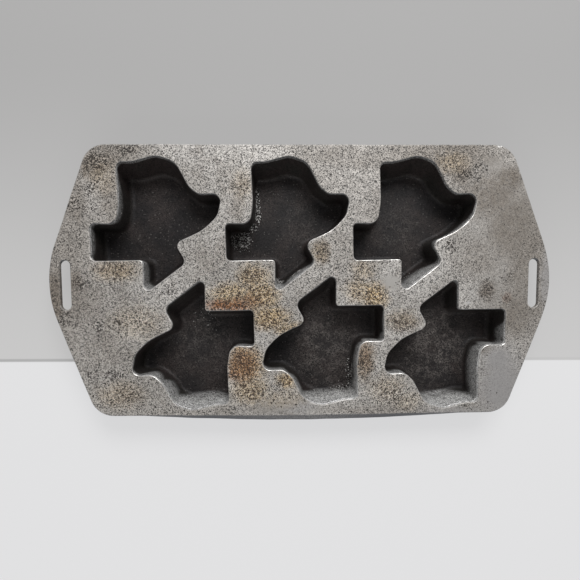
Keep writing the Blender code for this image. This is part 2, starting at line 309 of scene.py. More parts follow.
@dataclass(frozen=True)
class PanSizes:
    """The sizes that the deck and the moulds share."""

    deck_thickness: float = 0.0042
    cavity_depth: float = 0.0270
    floor_thickness: float = 0.0036
    lip_radius: float = 0.0008
    lip_outset: float = 0.0004
    upper_lands: tuple[float, float] = (0.0034, 0.0009)
    lower_lands: tuple[float, float] = (0.0044, -0.0016)
    lower_row_shift: float = 0.0270
    lower_middle_rise: float = 0.0035
    row_nesting: float = 0.0097
    upper_margin: float = 0.00815
    lower_margin: float = 0.00315
    left_margin: float = 0.0339
    right_margin: float = 0.0330
    ground_bow: float = 0.0058

    @property
    def deck_top(self) -> float:
        """The height of the deck's face above the table."""
        return self.floor_thickness + self.cavity_depth

    @property
    def mould_width(self) -> float:
        """The width of one mould at its mouth."""
        across = [corner.x for corner in MOULD_OUTLINE]
        return OUTLINE_UNIT * (max(across) - min(across))

    @property
    def row_spacing(self) -> float:
        """How far the rows' middles are apart."""
        return MOULD_LENGTH - self.row_nesting

    @property
    def deck_length(self) -> float:
        """The deck's length over its bowed ends."""
        row_length = self.lower_row_shift + 3 * self.mould_width + sum(self.lower_lands)
        return self.left_margin + row_length + self.right_margin

    @property
    def deck_width(self) -> float:
        """The deck's width at its face."""
        return self.lower_margin + self.row_spacing + MOULD_LENGTH + self.upper_margin

    @property
    def deck_middle_y(self) -> float:
        """Where the middle of the deck's face lies, so that the footprint is centred."""
        return self.ground_bow / 2

    def places(self) -> list[MouldPlace]:
        """Return the six places, the upper row first, each row from the left.

        Returns:
            The moulds' places.
        """
        first_x = self.left_margin + self.mould_width / 2 - self.deck_length / 2
        upper_y = (self.deck_middle_y + self.deck_width / 2 - self.upper_margin
                   - MOULD_LENGTH / 2)
        lower_y = upper_y - self.row_spacing
        rows = (
            (Row.UPPER, first_x, upper_y, 0.0, self.upper_lands),
            (Row.LOWER, first_x + self.lower_row_shift, lower_y, self.lower_middle_rise,
             self.lower_lands),
        )
        places = []
        for row, left_x, y, rise, (left_land, right_land) in rows:
            middle_x = left_x + self.mould_width + left_land
            right_x = middle_x + self.mould_width + right_land
            prefix = row.name.lower()
            places += [
                MouldPlace(f"{prefix}_left", left_x, y, row),
                MouldPlace(f"{prefix}_middle", middle_x, y + rise, row),
                MouldPlace(f"{prefix}_right", right_x, y, row),
            ]
        return places


PAN = PanSizes()


@dataclass(frozen=True)
class HandWork:
    """The small unevenness of a pattern that was cut and cast by hand."""

    reach: float = 0.00022
    wave: float = 0.016
    seed: int = 5
    longer_mould: str = "upper_left"
    longer_by: float = 1.045

    def stretched(self, mould: str, point: Vector) -> Vector:
        """Return a point of a mould's own plane, further out in the mould that came longer."""
        along = self.longer_by if mould == self.longer_mould else 1.0
        return Vector((point.x * along, point.y))

    def shift(self, point: Vector) -> Vector:
        """Return how far a point of an outline is off the drawn line."""
        place = Vector((point.x, point.y, 0.0)) / self.wave
        return noise.noise_vector(place).to_2d() * self.reach


HAND_WORK = HandWork()


# Writing node trees

Socket = bpy.types.NodeSocket
Value = Socket | float
FLOAT = "NodeSocketFloat"
WHOLE = "NodeSocketInt"
VECTOR = "NodeSocketVector"
GEOMETRY = "NodeSocketGeometry"
OBJECT = "NodeSocketObject"
MATERIAL = "NodeSocketMaterial"


class NodeWriter:
    """Adds nodes to a shader or geometry tree, each in one call."""

    def __init__(self, tree: bpy.types.NodeTree) -> None:
        """Take the tree that gets the nodes."""
        self.tree = tree

    def feed(self, socket: Socket, value: Value | Sequence[float]) -> None:
        """Link a socket to another, or set its own value.

        Args:
            socket: the input to feed.
            value: the socket to link it to, or its value.
        """
        if isinstance(value, Socket):
            self.tree.links.new(value, socket)
        else:
            socket.default_value = value

    def add(self, kind: str, inputs: dict | None = None, **settings: object) -> bpy.types.Node:
        """Add a node.

        Args:
            kind: the node's type.
            inputs: values or sockets by the name or index of the input that they feed.
            settings: the node's own settings.

        Returns:
            The new node.
        """
        node = self.tree.nodes.new(kind)
        for name, setting in settings.items():
            setattr(node, name, setting)
        for name, value in (inputs or {}).items():
            self.feed(node.inputs[name], value)
        return node

    def group(self, tree: bpy.types.NodeTree, **values: Value | Sequence[float]
              ) -> bpy.types.NodeOutputs:
        """Place a group of the same kind of tree.

        Args:
            tree: the group.
            values: its inputs by name, with blanks written as underscores.

        Returns:
            The group's outputs.
        """
        node = self.add(tree.bl_idname.replace("Tree", "Group"), node_tree=tree)
        for name, value in values.items():
            self.feed(node.inputs[name.replace("_", " ")], value)
        return node.outputs

    def math(self, operation: str, *values: Value) -> Socket:
        """Add a Math node and return its result."""
        return self.add("ShaderNodeMath", dict(enumerate(values)), operation=operation).outputs[0]

    def times(self, *values: Value) -> Socket:
        """Multiply values, in order."""
        return reduce(partial(self.math, "MULTIPLY"), values)

    def highest(self, *values: Value) -> Socket:
        """Return the highest of several values, which for masks is their union."""
        return reduce(partial(self.math, "MAXIMUM"), values)

    def minus(self, first: Value, second: Value) -> Socket:
        """Subtract the second value from the first."""
        return self.math("SUBTRACT", first, second)

    def scaled(self, value: Value, factor: Value, start: Value) -> Socket:
        """Return a start value plus a value times a factor."""
        return self.math("MULTIPLY_ADD", value, factor, start)

    def vector(self, operation: str, *values: Socket | Sequence[float]) -> Socket:
        """Add a Vector Math node and return its result."""
        node = self.add("ShaderNodeVectorMath", dict(enumerate(values)), operation=operation)
        return node.outputs["Value" if operation == "LENGTH" else "Vector"]

    def ease(self, value: Socket, low: Value, high: Value, to_low: float = 0.0,
             to_high: float = 1.0) -> Socket:
        """Ease a value from one range to another, and hold it at both ends.

        Args:
            value: the value.
            low: where the range begins. It may lie above its end.
            high: where the range ends.
            to_low: the result at the beginning.
            to_high: the result at the end.

        Returns:
            The eased value.
        """
        inputs = {"Value": value, "From Min": low, "From Max": high, "To Min": to_low,
                  "To Max": to_high}
        node = self.add("ShaderNodeMapRange", inputs, interpolation_type="SMOOTHSTEP")
        return node.outputs["Result"]

    def mix(self, share: Value, first: Socket | Colour, second: Socket | Colour,
            blend: str = "MIX") -> Socket:
        """Mix two colours.

        Args:
            share: how much of the second shows.
            first: the colour below.
            second: the colour on top.
            blend: how they are mixed.

        Returns:
            The mixed colour.
        """
        share_in, first_in, second_in, mixed_out = 0, 6, 7, 2
        node = self.add("ShaderNodeMix", data_type="RGBA", blend_type=blend)
        for index, value in ((share_in, share), (first_in, first), (second_in, second)):
            self.feed(node.inputs[index], (*value, 1.0) if isinstance(value, tuple) else value)
        return node.outputs[mixed_out]

    def noise(self, vector: Socket, scale: float, detail: float = 2.0, roughness: float = 0.5,
              output: int | str = 0) -> Socket:
        """Add a noise, whose value runs from about 0.25 to 0.75.

        Args:
            vector: the coordinates.
            scale: how many lumps a metre has.
            detail: how many finer noises lie on it.
            roughness: how strong they are.
            output: the name or index of the output.

        Returns:
            The output.
        """
        inputs = {"Vector": vector, "Scale": scale, "Detail": detail, "Roughness": roughness}
        return self.add("ShaderNodeTexNoise", inputs).outputs[output]

    def ragged(self, vector: Socket, reach: float, scale: float, detail: float = 4.0,
               roughness: float = 0.65) -> Socket:
        """Shift coordinates by a noise, so that what is drawn on them has a ragged edge.

        Args:
            vector: the coordinates.
            reach: how far they shift.
            scale: how many lumps of the noise a metre has.
            detail: how many finer noises lie on it.
            roughness: how strong they are.

        Returns:
            The shifted coordinates.
        """
        colour = self.noise(vector, scale, detail, roughness, "Color")
        centred = self.vector("SUBTRACT", colour, (0.5, 0.5, 0.5))
        return self.vector("ADD", vector, self.vector("MULTIPLY", centred, (reach,) * 3))

    def xyz(self, vector: Socket) -> tuple[Socket, Socket, Socket]:
        """Return a vector's three parts."""
        return tuple(self.add("ShaderNodeSeparateXYZ", {0: vector}).outputs)

    def geometry(self, kind: str, **inputs: Value | Sequence[float]) -> Socket:
        """Add a geometry node, its inputs by name with blanks as underscores.

        Args:
            kind: the node's type without its prefix.
            inputs: what the inputs are fed.

        Returns:
            The node's first output.
        """
        named = {name.replace("_", " "): value for name, value in inputs.items()}
        return self.add(f"GeometryNode{kind}", named).outputs[0]

    def combined(self, **parts: Value) -> Socket:
        """Return a vector of the given parts, X, Y or Z, with nothing for the others."""
        return self.add("ShaderNodeCombineXYZ", parts).outputs[0]


def new_group(name: str, kind: str, takes: dict[str, float | str],
              gives: Sequence[str]) -> tuple[NodeWriter, dict[str, Socket], dict[str, Socket]]:
    """Make an empty node group with its sockets.

    Args:
        name: the group's name.
        kind: ShaderNodeTree or GeometryNodeTree.
        takes: the kind of each input by its name, or the usual value of a number.
        gives: the names of the outputs, which are numbers in a shader group.

    Returns:
        The writer for the group, what it is given and what it has to feed, both by name.
    """
    tree = bpy.data.node_groups.new(name, kind)
    for input_name, asked in takes.items():
        usual = isinstance(asked, float)
        socket = tree.interface.new_socket(input_name, in_out="INPUT",
                                           socket_type=FLOAT if usual else asked)
        if usual:
            socket.default_value = asked
    for output_name in gives:
        tree.interface.new_socket(output_name, in_out="OUTPUT", socket_type=(
            FLOAT if kind == "ShaderNodeTree" else GEOMETRY))
    writer = NodeWriter(tree)
    given = writer.add("NodeGroupInput").outputs
    fed = writer.add("NodeGroupOutput").inputs
    return writer, dict(zip(takes, given)), dict(zip(gives, fed))


# Surface effects that several finishes share

@dataclass(frozen=True)
class Spot:
    """An oval mark on the pan, in millimetres."""

    x: float
    y: float
    reach_x: float
    reach_y: float
    strength: float = 1.0


class Effects:
    """The shader node groups that the finishes place with their own values."""

    def __init__(self) -> None:
        """Build every group once."""
        self.speckle = self._speckle()
        self.pits = self._pits()
        self.spot = self._spot()
        self.polished_edge = self._worn_edge_and_highlight()
        self.seasoning_line = self._seasoning_line()
        self.handling_scratches = self._handling_scratches()

    @staticmethod
    def _speckle() -> bpy.types.NodeTree:
        """Build the salt-and-pepper grain of a ground casting: a value about one.

        Returns:
            The group.
        """
        writer, given, fed = new_group(
            "casting_speckle", "ShaderNodeTree",
            {"Vector": VECTOR, "Scale": 1700.0, "Contrast": 1.0}, ("Value", "Height"))
        power = 0.6
        average = 1 / (1 + power)
        grains = writer.add("ShaderNodeTexVoronoi", {"Vector": given["Vector"],
                                                     "Scale": given["Scale"]})
        lot, _, _ = writer.xyz(grains.outputs["Color"])
        skewed = writer.math("POWER", lot, power)
        shaped = writer.scaled(writer.minus(skewed, average), given["Contrast"], 1.0)
        writer.feed(fed["Value"], writer.highest(shaped, 0.0))
        writer.feed(fed["Height"], skewed)
        return writer.tree

    @staticmethod
    def _pits() -> bpy.types.NodeTree:
        """Build scattered round pits: a mask that is one inside a pit.

        Returns:
            The group.
        """
        writer, given, fed = new_group(
            "casting_pits", "ShaderNodeTree",
            {"Vector": VECTOR, "Scale": FLOAT, "Share": FLOAT, "Size": FLOAT}, ("Mask",))
        bent = writer.ragged(given["Vector"], 0.0016, 700.0, 2.0, 0.5)
        cells = writer.add("ShaderNodeTexVoronoi", {"Vector": bent, "Scale": given["Scale"]})
        chance, spread, _ = writer.xyz(cells.outputs["Color"])
        reach = writer.times(given["Size"], writer.scaled(spread, 0.7, 0.5))
        inside = writer.ease(cells.outputs["Distance"], reach, writer.times(reach, 0.80))
        chosen = writer.math("LESS_THAN", chance, given["Share"])
        writer.feed(fed["Mask"], writer.times(inside, chosen))
        return writer.tree

    @staticmethod
    def _spot() -> bpy.types.NodeTree:
        """Build one oval mark, strongest in its middle.

        Returns:
            The group.
        """
        writer, given, fed = new_group(
            "oval_mark", "ShaderNodeTree",
            {"Vector": VECTOR, "Centre": VECTOR, "Reach": VECTOR, "Strength": FLOAT}, ("Mask",))
        off_centre = writer.vector("SUBTRACT", given["Vector"], given["Centre"])
        across = writer.vector("DIVIDE", off_centre, given["Reach"])
        flat = writer.vector("MULTIPLY", across, (1.0, 1.0, 0.0))
        mask = writer.ease(writer.vector("LENGTH", flat), 1.25, 0.25)
        writer.feed(fed["Mask"], writer.times(mask, given["Strength"]))
        return writer.tree

    @staticmethod
    def _worn_edge_and_highlight() -> bpy.types.NodeTree:
        """Build the wear on edges that lie just below the deck's face, with a painted highlight
        that is strongest on edges facing +Y, towards the back lamp, and less on far sides.

        Returns:
            The group.
        """
        writer, given, fed = new_group(
            "polished_edge", "ShaderNodeTree",
            {"Vector": VECTOR, "Normal": VECTOR, "Edge Height": FLOAT}, ("Mask",))
        width = 0.0014
        _, _, height = writer.xyz(given["Vector"])
        _, facing_y, _ = writer.xyz(given["Normal"])
        # Painted highlight: edges that face +Y, towards the back lamp, get the most of the bright
        # edge colour.
        lamp_side_highlight = writer.ease(facing_y, -0.05, 0.28, 0.15, 1.0)
        depth = writer.math("DIVIDE", writer.minus(given["Edge Height"], height), width)
        begins = writer.ease(depth, 0.002, 0.020)
        ends = writer.ease(depth, 1.0, 0.65)
        worn = writer.ease(writer.noise(given["Vector"], 170.0, 3.0, 0.6), 0.34, 0.56, 0.35, 1.0)
        writer.feed(fed["Mask"], writer.times(begins, ends, lamp_side_highlight, worn))
        return writer.tree

    @staticmethod
    def _seasoning_line() -> bpy.types.NodeTree:
        """Build where the black seasoning begins below a mouth: nothing above it, one below.

        Returns:
            The group.
        """
        writer, given, fed = new_group(
            "seasoning_line", "ShaderNodeTree",
            {"Vector": VECTOR, "Depth": FLOAT, "Line": FLOAT, "Ragged": FLOAT,
             "Softness": FLOAT}, ("Mask",))
        broad_share = 0.9
        fine_share = 0.45
        average = (broad_share + fine_share) / 2
        broad = writer.times(writer.noise(given["Vector"], 42.0, 3.0, 0.55), broad_share)
        fine = writer.noise(given["Vector"], 420.0, 3.0, 0.65)
        both = writer.scaled(fine, fine_share, broad)
        wander = writer.times(writer.minus(both, average), given["Ragged"])
        edge = writer.math("ADD", given["Line"], writer.times(wander, 2.0))
        high = writer.math("ADD", edge, given["Softness"])
        low = writer.minus(edge, given["Softness"])
        writer.feed(fed["Mask"], writer.ease(given["Depth"], low, high))
        return writer.tree

    @staticmethod
    def _handling_scratches() -> bpy.types.NodeTree:
        """Build short fine scratches that run one way.

        Returns:
            The group.
        """
        writer, given, fed = new_group("handling_scratches", "ShaderNodeTree",
                                       {"Vector": VECTOR, "Share": FLOAT}, ("Mask",))
        turn = 0.6
        stretch = (60.0, 1500.0, 1500.0)
        turned = writer.add("ShaderNodeVectorRotate", {"Vector": given["Vector"], "Angle": turn},
                            rotation_type="Z_AXIS").outputs[0]
        lines = writer.noise(writer.vector("MULTIPLY", turned, stretch), 1.0)
        patches = writer.ease(writer.noise(given["Vector"], 85.0), 0.48, 0.62)
        chosen = writer.ease(lines, 0.66, 0.72)
        writer.feed(fed["Mask"], writer.times(chosen, patches, given["Share"]))
        return writer.tree

    def marks(self, writer: NodeWriter, vector: Socket, spots: Sequence[Spot]) -> Socket:
        """Draw several oval marks.

        Args:
            writer: the writer of the finish.
            vector: the coordinates.
            spots: the marks.

        Returns:
            Their union.
        """
        return writer.highest(*(writer.group(
            self.spot, Vector=vector, Strength=spot.strength,
            Centre=(spot.x / MM_IN_METRE, spot.y / MM_IN_METRE, 0.0),
            Reach=(spot.reach_x / MM_IN_METRE, spot.reach_y / MM_IN_METRE, 1.0))[0]
            for spot in spots))

    def pitted(self, writer: NodeWriter, vector: Socket, share: Value, scale: float,
               size: float) -> Socket:
        """Strew pits.

        Args:
            writer: the writer of the finish.
            vector: the coordinates.
            share: the share of the cells that have a pit.
            scale: how many cells a metre has.
            size: how much of its cell a pit fills.

        Returns:
            A mask that is one inside a pit.
        """
        return writer.group(self.pits, Vector=vector, Scale=scale, Size=size, Share=share)[0]


# Finishes

@dataclass(frozen=True)
class Paint:
    """A new material with what a finish needs to fill it in."""

    material: bpy.types.Material
    writer: NodeWriter
    shader: bpy.types.Node
    place: Socket

    @classmethod
    def named(cls, name: str) -> "Paint":
        """Make a material with a Principled shader and object coordinates.

        Args:
            name: the material's name.

        Returns:
            The material, the writer for its tree, its shader and the coordinates.
        """
        material = bpy.data.materials.new(name)
        material.use_nodes = True
        writer = NodeWriter(material.node_tree)
        shader = material.node_tree.nodes["Principled BSDF"]
        place = writer.add("ShaderNodeTexCoord").outputs["Object"]
        return cls(material, writer, shader, place)

    def normal(self) -> Socket:
        """Return the surface's own direction, without the bump."""
        return self.writer.add("ShaderNodeNewGeometry").outputs["True Normal"]

    def dress(self, **values: Value | Sequence[float]) -> None:
        """Feed the shader's inputs by name, with blanks written as underscores."""
        for name, value in values.items():
            self.writer.feed(self.shader.inputs[name.replace("_", " ")], value)

    def speckled(self, effects: Effects, colour: Socket, **values: Value
                 ) -> tuple[Socket, Socket]:
        """Strew the casting's speckle over a colour.

        Args:
            effects: the shared surface effects.
            colour: the colour below.
            values: the speckle's Scale or Contrast.

        Returns:
            The speckled colour and the speckle's height.
        """
        speckle = self.writer.group(effects.speckle, Vector=self.place, **values)
        return self.writer.mix(1.0, colour, speckle["Value"], "MULTIPLY"), speckle["Height"]

    def roughen(self, height: Socket, strength: Value, distance: float) -> None:
        """Give the surface a bump.

        Args:
            height: the height, from about nothing to one.
            strength: how much of the bump shows.
            distance: how far up a height of one is, in metres.
        """
        bump = self.writer.add("ShaderNodeBump", {"Strength": strength, "Distance": distance,
                                                  "Height": height})
        self.dress(Normal=bump.outputs[0])


@dataclass(frozen=True)
class GroundIron:
    """Bare ground iron: silver grey, finely pitted, filmed and rusted in places."""

    light: Colour = (0.425, 0.406, 0.384)
    middle: Colour = (0.322, 0.303, 0.281)
    film: Colour = (0.185, 0.160, 0.135)
    ochre: Colour = (0.385, 0.284, 0.155)
    rust: Colour = (0.180, 0.076, 0.026)
    pit: Colour = (0.030, 0.024, 0.020)
    rusty_pit: Colour = (0.045, 0.022, 0.012)
    plain: Colour = (0.350, 0.338, 0.333)
    # Near-white lip colour: partly polished metal, partly a painted highlight on lips that face
    # the back lamp.
    edge: Colour = (0.800, 0.785, 0.765)
    # Painted shade for faces that turn towards -Y, away from the back lamp.
    shaded_ground_face: Colour = (0.110, 0.114, 0.124)
    soot_spots: tuple[Spot, ...] = (
        Spot(-157, 95, 12, 8), Spot(-134, 105, 13, 5), Spot(-163, 75, 5, 5),
        Spot(-177, 64, 6, 6, 0.8), Spot(-169, 61, 3, 3), Spot(-173, 3, 7, 6),
        Spot(-160, -31, 6, 8, 0.8), Spot(-186, -25, 6, 6, 0.8), Spot(-143, -28, 4, 4, 0.8),
        Spot(-149, -70, 9, 5), Spot(-166, -70, 5, 5, 0.8), Spot(-138, -87, 12, 7, 0.7),
        Spot(-148, 14, 12, 7, 0.6), Spot(-105, -2, 5, 5, 0.6), Spot(-40, 7, 10, 8),
        Spot(-33, -9, 14, 12, 0.8), Spot(-25, -29, 18, 8, 0.9), Spot(-47, -61, 12, 12),
        Spot(-44, -82, 12, 12, 0.8), Spot(-13, -74, 8, 5, 0.7), Spot(17, 26, 7, 9, 0.6),
        Spot(54, -11, 9, 7, 0.8), Spot(50, -60, 7, 14, 0.7), Spot(80, -30, 13, 9, 0.9),
        Spot(72, -88, 13, 9, 0.7), Spot(60, -80, 6, 8, 0.5), Spot(127, 86, 9, 7),
        Spot(138, 88, 7, 9, 0.6), Spot(147, -4, 6, 8), Spot(163, -10, 4, 4, 0.8),
        Spot(164, 5, 6, 5, 0.6), Spot(117, 30, 5, 8, 0.7), Spot(-45, 76, 6, 8, 0.5),
    )
    rust_spots: tuple[Spot, ...] = (
        Spot(-58, -15.5, 24, 7.0), Spot(-42, -12, 11, 7, 0.7), Spot(-47, -62, 14, 16, 0.8),
        Spot(-52, -68, 10, 10, 0.8), Spot(50, -58, 7, 15, 0.3), Spot(163, -10, 5, 4, 0.3),
    )
    ochre_spots: tuple[Spot, ...] = (
        Spot(-55, -6, 22, 10, 0.8), Spot(-38, 6, 15, 13, 0.8), Spot(-33, -8, 18, 15),
        Spot(-26, -25, 18, 12), Spot(-12, -33, 16, 7, 0.7), Spot(-49, -49, 9, 8, 0.8),
        Spot(-45, -63, 17, 18), Spot(-42, -82, 18, 15, 0.7), Spot(-12, -75, 10, 8),
        Spot(-18, -90, 24, 9, 0.35), Spot(57, -9, 13, 13), Spot(45, -4, 13, 13, 0.6),
        Spot(48, 12, 11, 9, 0.4), Spot(50, -58, 9, 20, 0.3), Spot(68, -83, 18, 14, 0.35),
        Spot(84, -92, 16, 9, 0.3), Spot(15, 26, 9, 11, 0.3), Spot(-46, 78, 10, 14, 0.3),
        Spot(-145, 12, 20, 10, 0.5), Spot(118, 94, 15, 10, 0.35), Spot(-145, -86, 22, 13, 0.35),
        Spot(80, -28, 15, 10, 0.35), Spot(-130, -28, 24, 16, 0.3), Spot(-152, 84, 14, 16, 0.25),
    )
    film_spots: tuple[Spot, ...] = (
        Spot(-160, 92, 18, 16), Spot(-134, 104, 18, 6, 0.7), Spot(-175, 66, 14, 34, 0.7),
        Spot(-150, 74, 12, 22, 0.6), Spot(-145, 13, 22, 9, 0.6), Spot(-180, 4, 12, 16, 0.9),
        Spot(-194, 5, 7, 34, 0.5), Spot(-160, -50, 24, 24, 0.5), Spot(-143, -85, 22, 13, 0.3),
        Spot(-55, -8, 24, 12, 0.5), Spot(-46, -60, 16, 20, 0.6), Spot(-24, -28, 18, 12, 0.4),
        Spot(15, 27, 10, 13), Spot(50, -58, 10, 22), Spot(80, -28, 16, 10, 0.7),
        Spot(40, 98, 46, 12, 0.5), Spot(116, 100, 60, 20, 0.8), Spot(125, 86, 14, 12, 0.9),
        Spot(163, 83, 15, 14), Spot(150, 70, 30, 26, 0.9), Spot(166, 45, 30, 40, 0.8),
        Spot(140, 22, 26, 24, 0.6), Spot(147, -4, 9, 10), Spot(172, -22, 18, 26, 0.8),
        Spot(180, 12, 26, 70, 0.7), Spot(16, 60, 60, 50, 0.3), Spot(-190, 10, 38, 120, 0.6),
        Spot(148, -52, 12, 5, 0.9), Spot(-50, 60, 9, 14, 0.6), Spot(-74, 20, 14, 16, 0.4),
        Spot(-176, 5, 9, 12, 0.9), Spot(-148, 99, 14, 8, 0.8), Spot(-156, -44, 16, 16, 0.6),
        Spot(-186, 0, 12, 26, 0.9), Spot(-142, 104, 20, 7, 0.6), Spot(-62, 26, 12, 12, 0.5),
        Spot(60, -100, 60, 6, 0.5), Spot(-60, -100, 50, 6, 0.3), Spot(-165, 10, 30, 90, 0.4),
        Spot(-150, 98, 34, 16, 0.8), Spot(-192, -8, 9, 30, 1.2), Spot(-58, -12, 24, 8, 0.7),
        Spot(-148, 66, 12, 30, 0.7),
    )
    plain_spots: tuple[Spot, ...] = (
        Spot(161, -82, 24, 34), Spot(158, -61, 16, 16),
        Spot(-4, -97, 16, 6, 0.7), Spot(196, 5, 7, 34, 0.8), Spot(130, -102, 40, 5, 0.7),
    )
    smooth_spots: tuple[Spot, ...] = (
        Spot(160, 55, 46, 56, 0.6), Spot(165, 0, 36, 60, 0.5), Spot(150, 92, 12, 10, 0.8),
        Spot(70, 2, 9, 8), Spot(-12, -97, 44, 9, 0.6),
    )
    chips: tuple[Spot, ...] = (
        Spot(154.5, 107.0, 2.6, 1.0), Spot(171.5, 88.0, 1.4, 2.2), Spot(175.2, 81.0, 1.0, 2.4),
        Spot(132, -14, 3.0, 1.2, 0.8),
    )
    rim_across: Span = (0.1030, 0.1045)
    rim_along: Span = (0.166, 0.170)
    front_edge: Span = (-0.098, -0.086)

    def material(self, effects: Effects) -> bpy.types.Material:
        """Build the finish.

        Args:
            effects: the shared surface effects.

        Returns:
            The material.
        """
        paint = Paint.named("ground_casting")
        writer, place = paint.writer, paint.place
        ragged = writer.ragged(place, 0.011, 190.0)
        soot, rust, ochre, film, plain, smooth = (
            effects.marks(writer, ragged, spots)
            for spots in (self.soot_spots, self.rust_spots, self.ochre_spots, self.film_spots,
                          self.plain_spots, self.smooth_spots))
        chips = effects.marks(writer, writer.ragged(place, 0.003, 900.0), self.chips)

        clouds = writer.noise(place, 24.0, 4.0, 0.6)
        mottle = writer.noise(place, 190.0, 4.0, 0.65)
        grit = writer.noise(place, 520.0, 3.0, 0.65)
        patches = writer.noise(place, 85.0, 4.0, 0.6)
        colour = writer.mix(writer.ease(clouds, 0.36, 0.62), self.middle, self.light)
        filmed = writer.times(writer.highest(film, writer.ease(patches, 0.50, 0.68, 0.0, 0.35)),
                              writer.ease(mottle, 0.20, 0.62, 0.60, 1.0))
        ochred = writer.times(ochre, writer.ease(grit, 0.36, 0.60, 0.50, 1.0))
        rusty = writer.times(rust, writer.ease(grit, 0.34, 0.56, 0.55, 1.0))
        for share, stain in ((filmed, self.film), (plain, self.plain), (ochred, self.ochre),
                             (rusty, self.rust)):
            colour = writer.mix(share, colour, stain)

        worn_flat = writer.highest(writer.times(plain, 0.85), smooth)
        rough_share = writer.minus(1.0, worn_flat)
        marked = writer.highest(soot, rust, writer.times(ochre, 0.8))
        contrast = writer.times(rough_share, writer.scaled(marked, 2.0, 2.05))
        colour, grain_height = paint.speckled(effects, colour, Contrast=contrast)

        pit_share = writer.times(rough_share, writer.scaled(marked, 0.50, 0.13))
        small = effects.pitted(writer, place, pit_share, scale=820.0, size=0.46)
        blots = effects.pitted(writer, place, writer.times(marked, 0.90), scale=560.0, size=0.50)
        pits = writer.highest(small, blots)
        dirt = writer.times(soot, writer.ease(grit, 0.51, 0.56, 0.05, 0.8))
        dark = writer.highest(writer.times(pits, 0.97), dirt)
        warm = writer.highest(rust, ochre)
        colour = writer.mix(dark, colour, writer.mix(warm, self.pit, self.rusty_pit))

        normal = paint.normal()
        _, facing_y, _ = writer.xyz(normal)
        # Painted shade: faces that turn towards -Y, such as the ground face on the lower edge and
        # the lips on that side, get a dark bluish grey.
        colour = writer.mix(writer.ease(facing_y, -0.35, -0.7), colour, self.shaded_ground_face)
        # Lips: worn metal plus a painted highlight, which mixes in the near-white edge colour
        # where they face the back lamp.
        edge = writer.group(effects.polished_edge, Vector=place, Normal=normal,
                            Edge_Height=PAN.deck_top)[0]
        along, across, _ = writer.xyz(place)
        off_middle = writer.math("ABSOLUTE", writer.minus(across, PAN.deck_middle_y))
        rim = writer.highest(writer.ease(off_middle, *self.rim_across),
                             writer.ease(writer.math("ABSOLUTE", along), *self.rim_along))
        edge = writer.times(edge, writer.scaled(rim, -0.65, 1.0),
                            writer.ease(across, *self.front_edge, 0.35, 1.0))
        edge = writer.highest(edge, chips)
        edge_wear_and_highlight = writer.times(edge, 0.85)

        stain = writer.highest(marked, writer.times(film, 0.6))
        metal = writer.highest(writer.scaled(writer.highest(stain, pits), -0.30, 0.35), edge_wear_and_highlight)
        rough = writer.scaled(edge, -0.20, writer.scaled(mottle, 0.22, 0.38))
        paint.dress(Base_Color=writer.mix(edge_wear_and_highlight, colour, self.edge), Metallic=metal,
                    Roughness=writer.scaled(stain, 0.15, rough))
        height = writer.scaled(mottle, 0.8, writer.scaled(pits, -0.8, grain_height))
        paint.roughen(height, strength=writer.scaled(edge, -0.45, 0.55), distance=0.00025)
        return paint.material


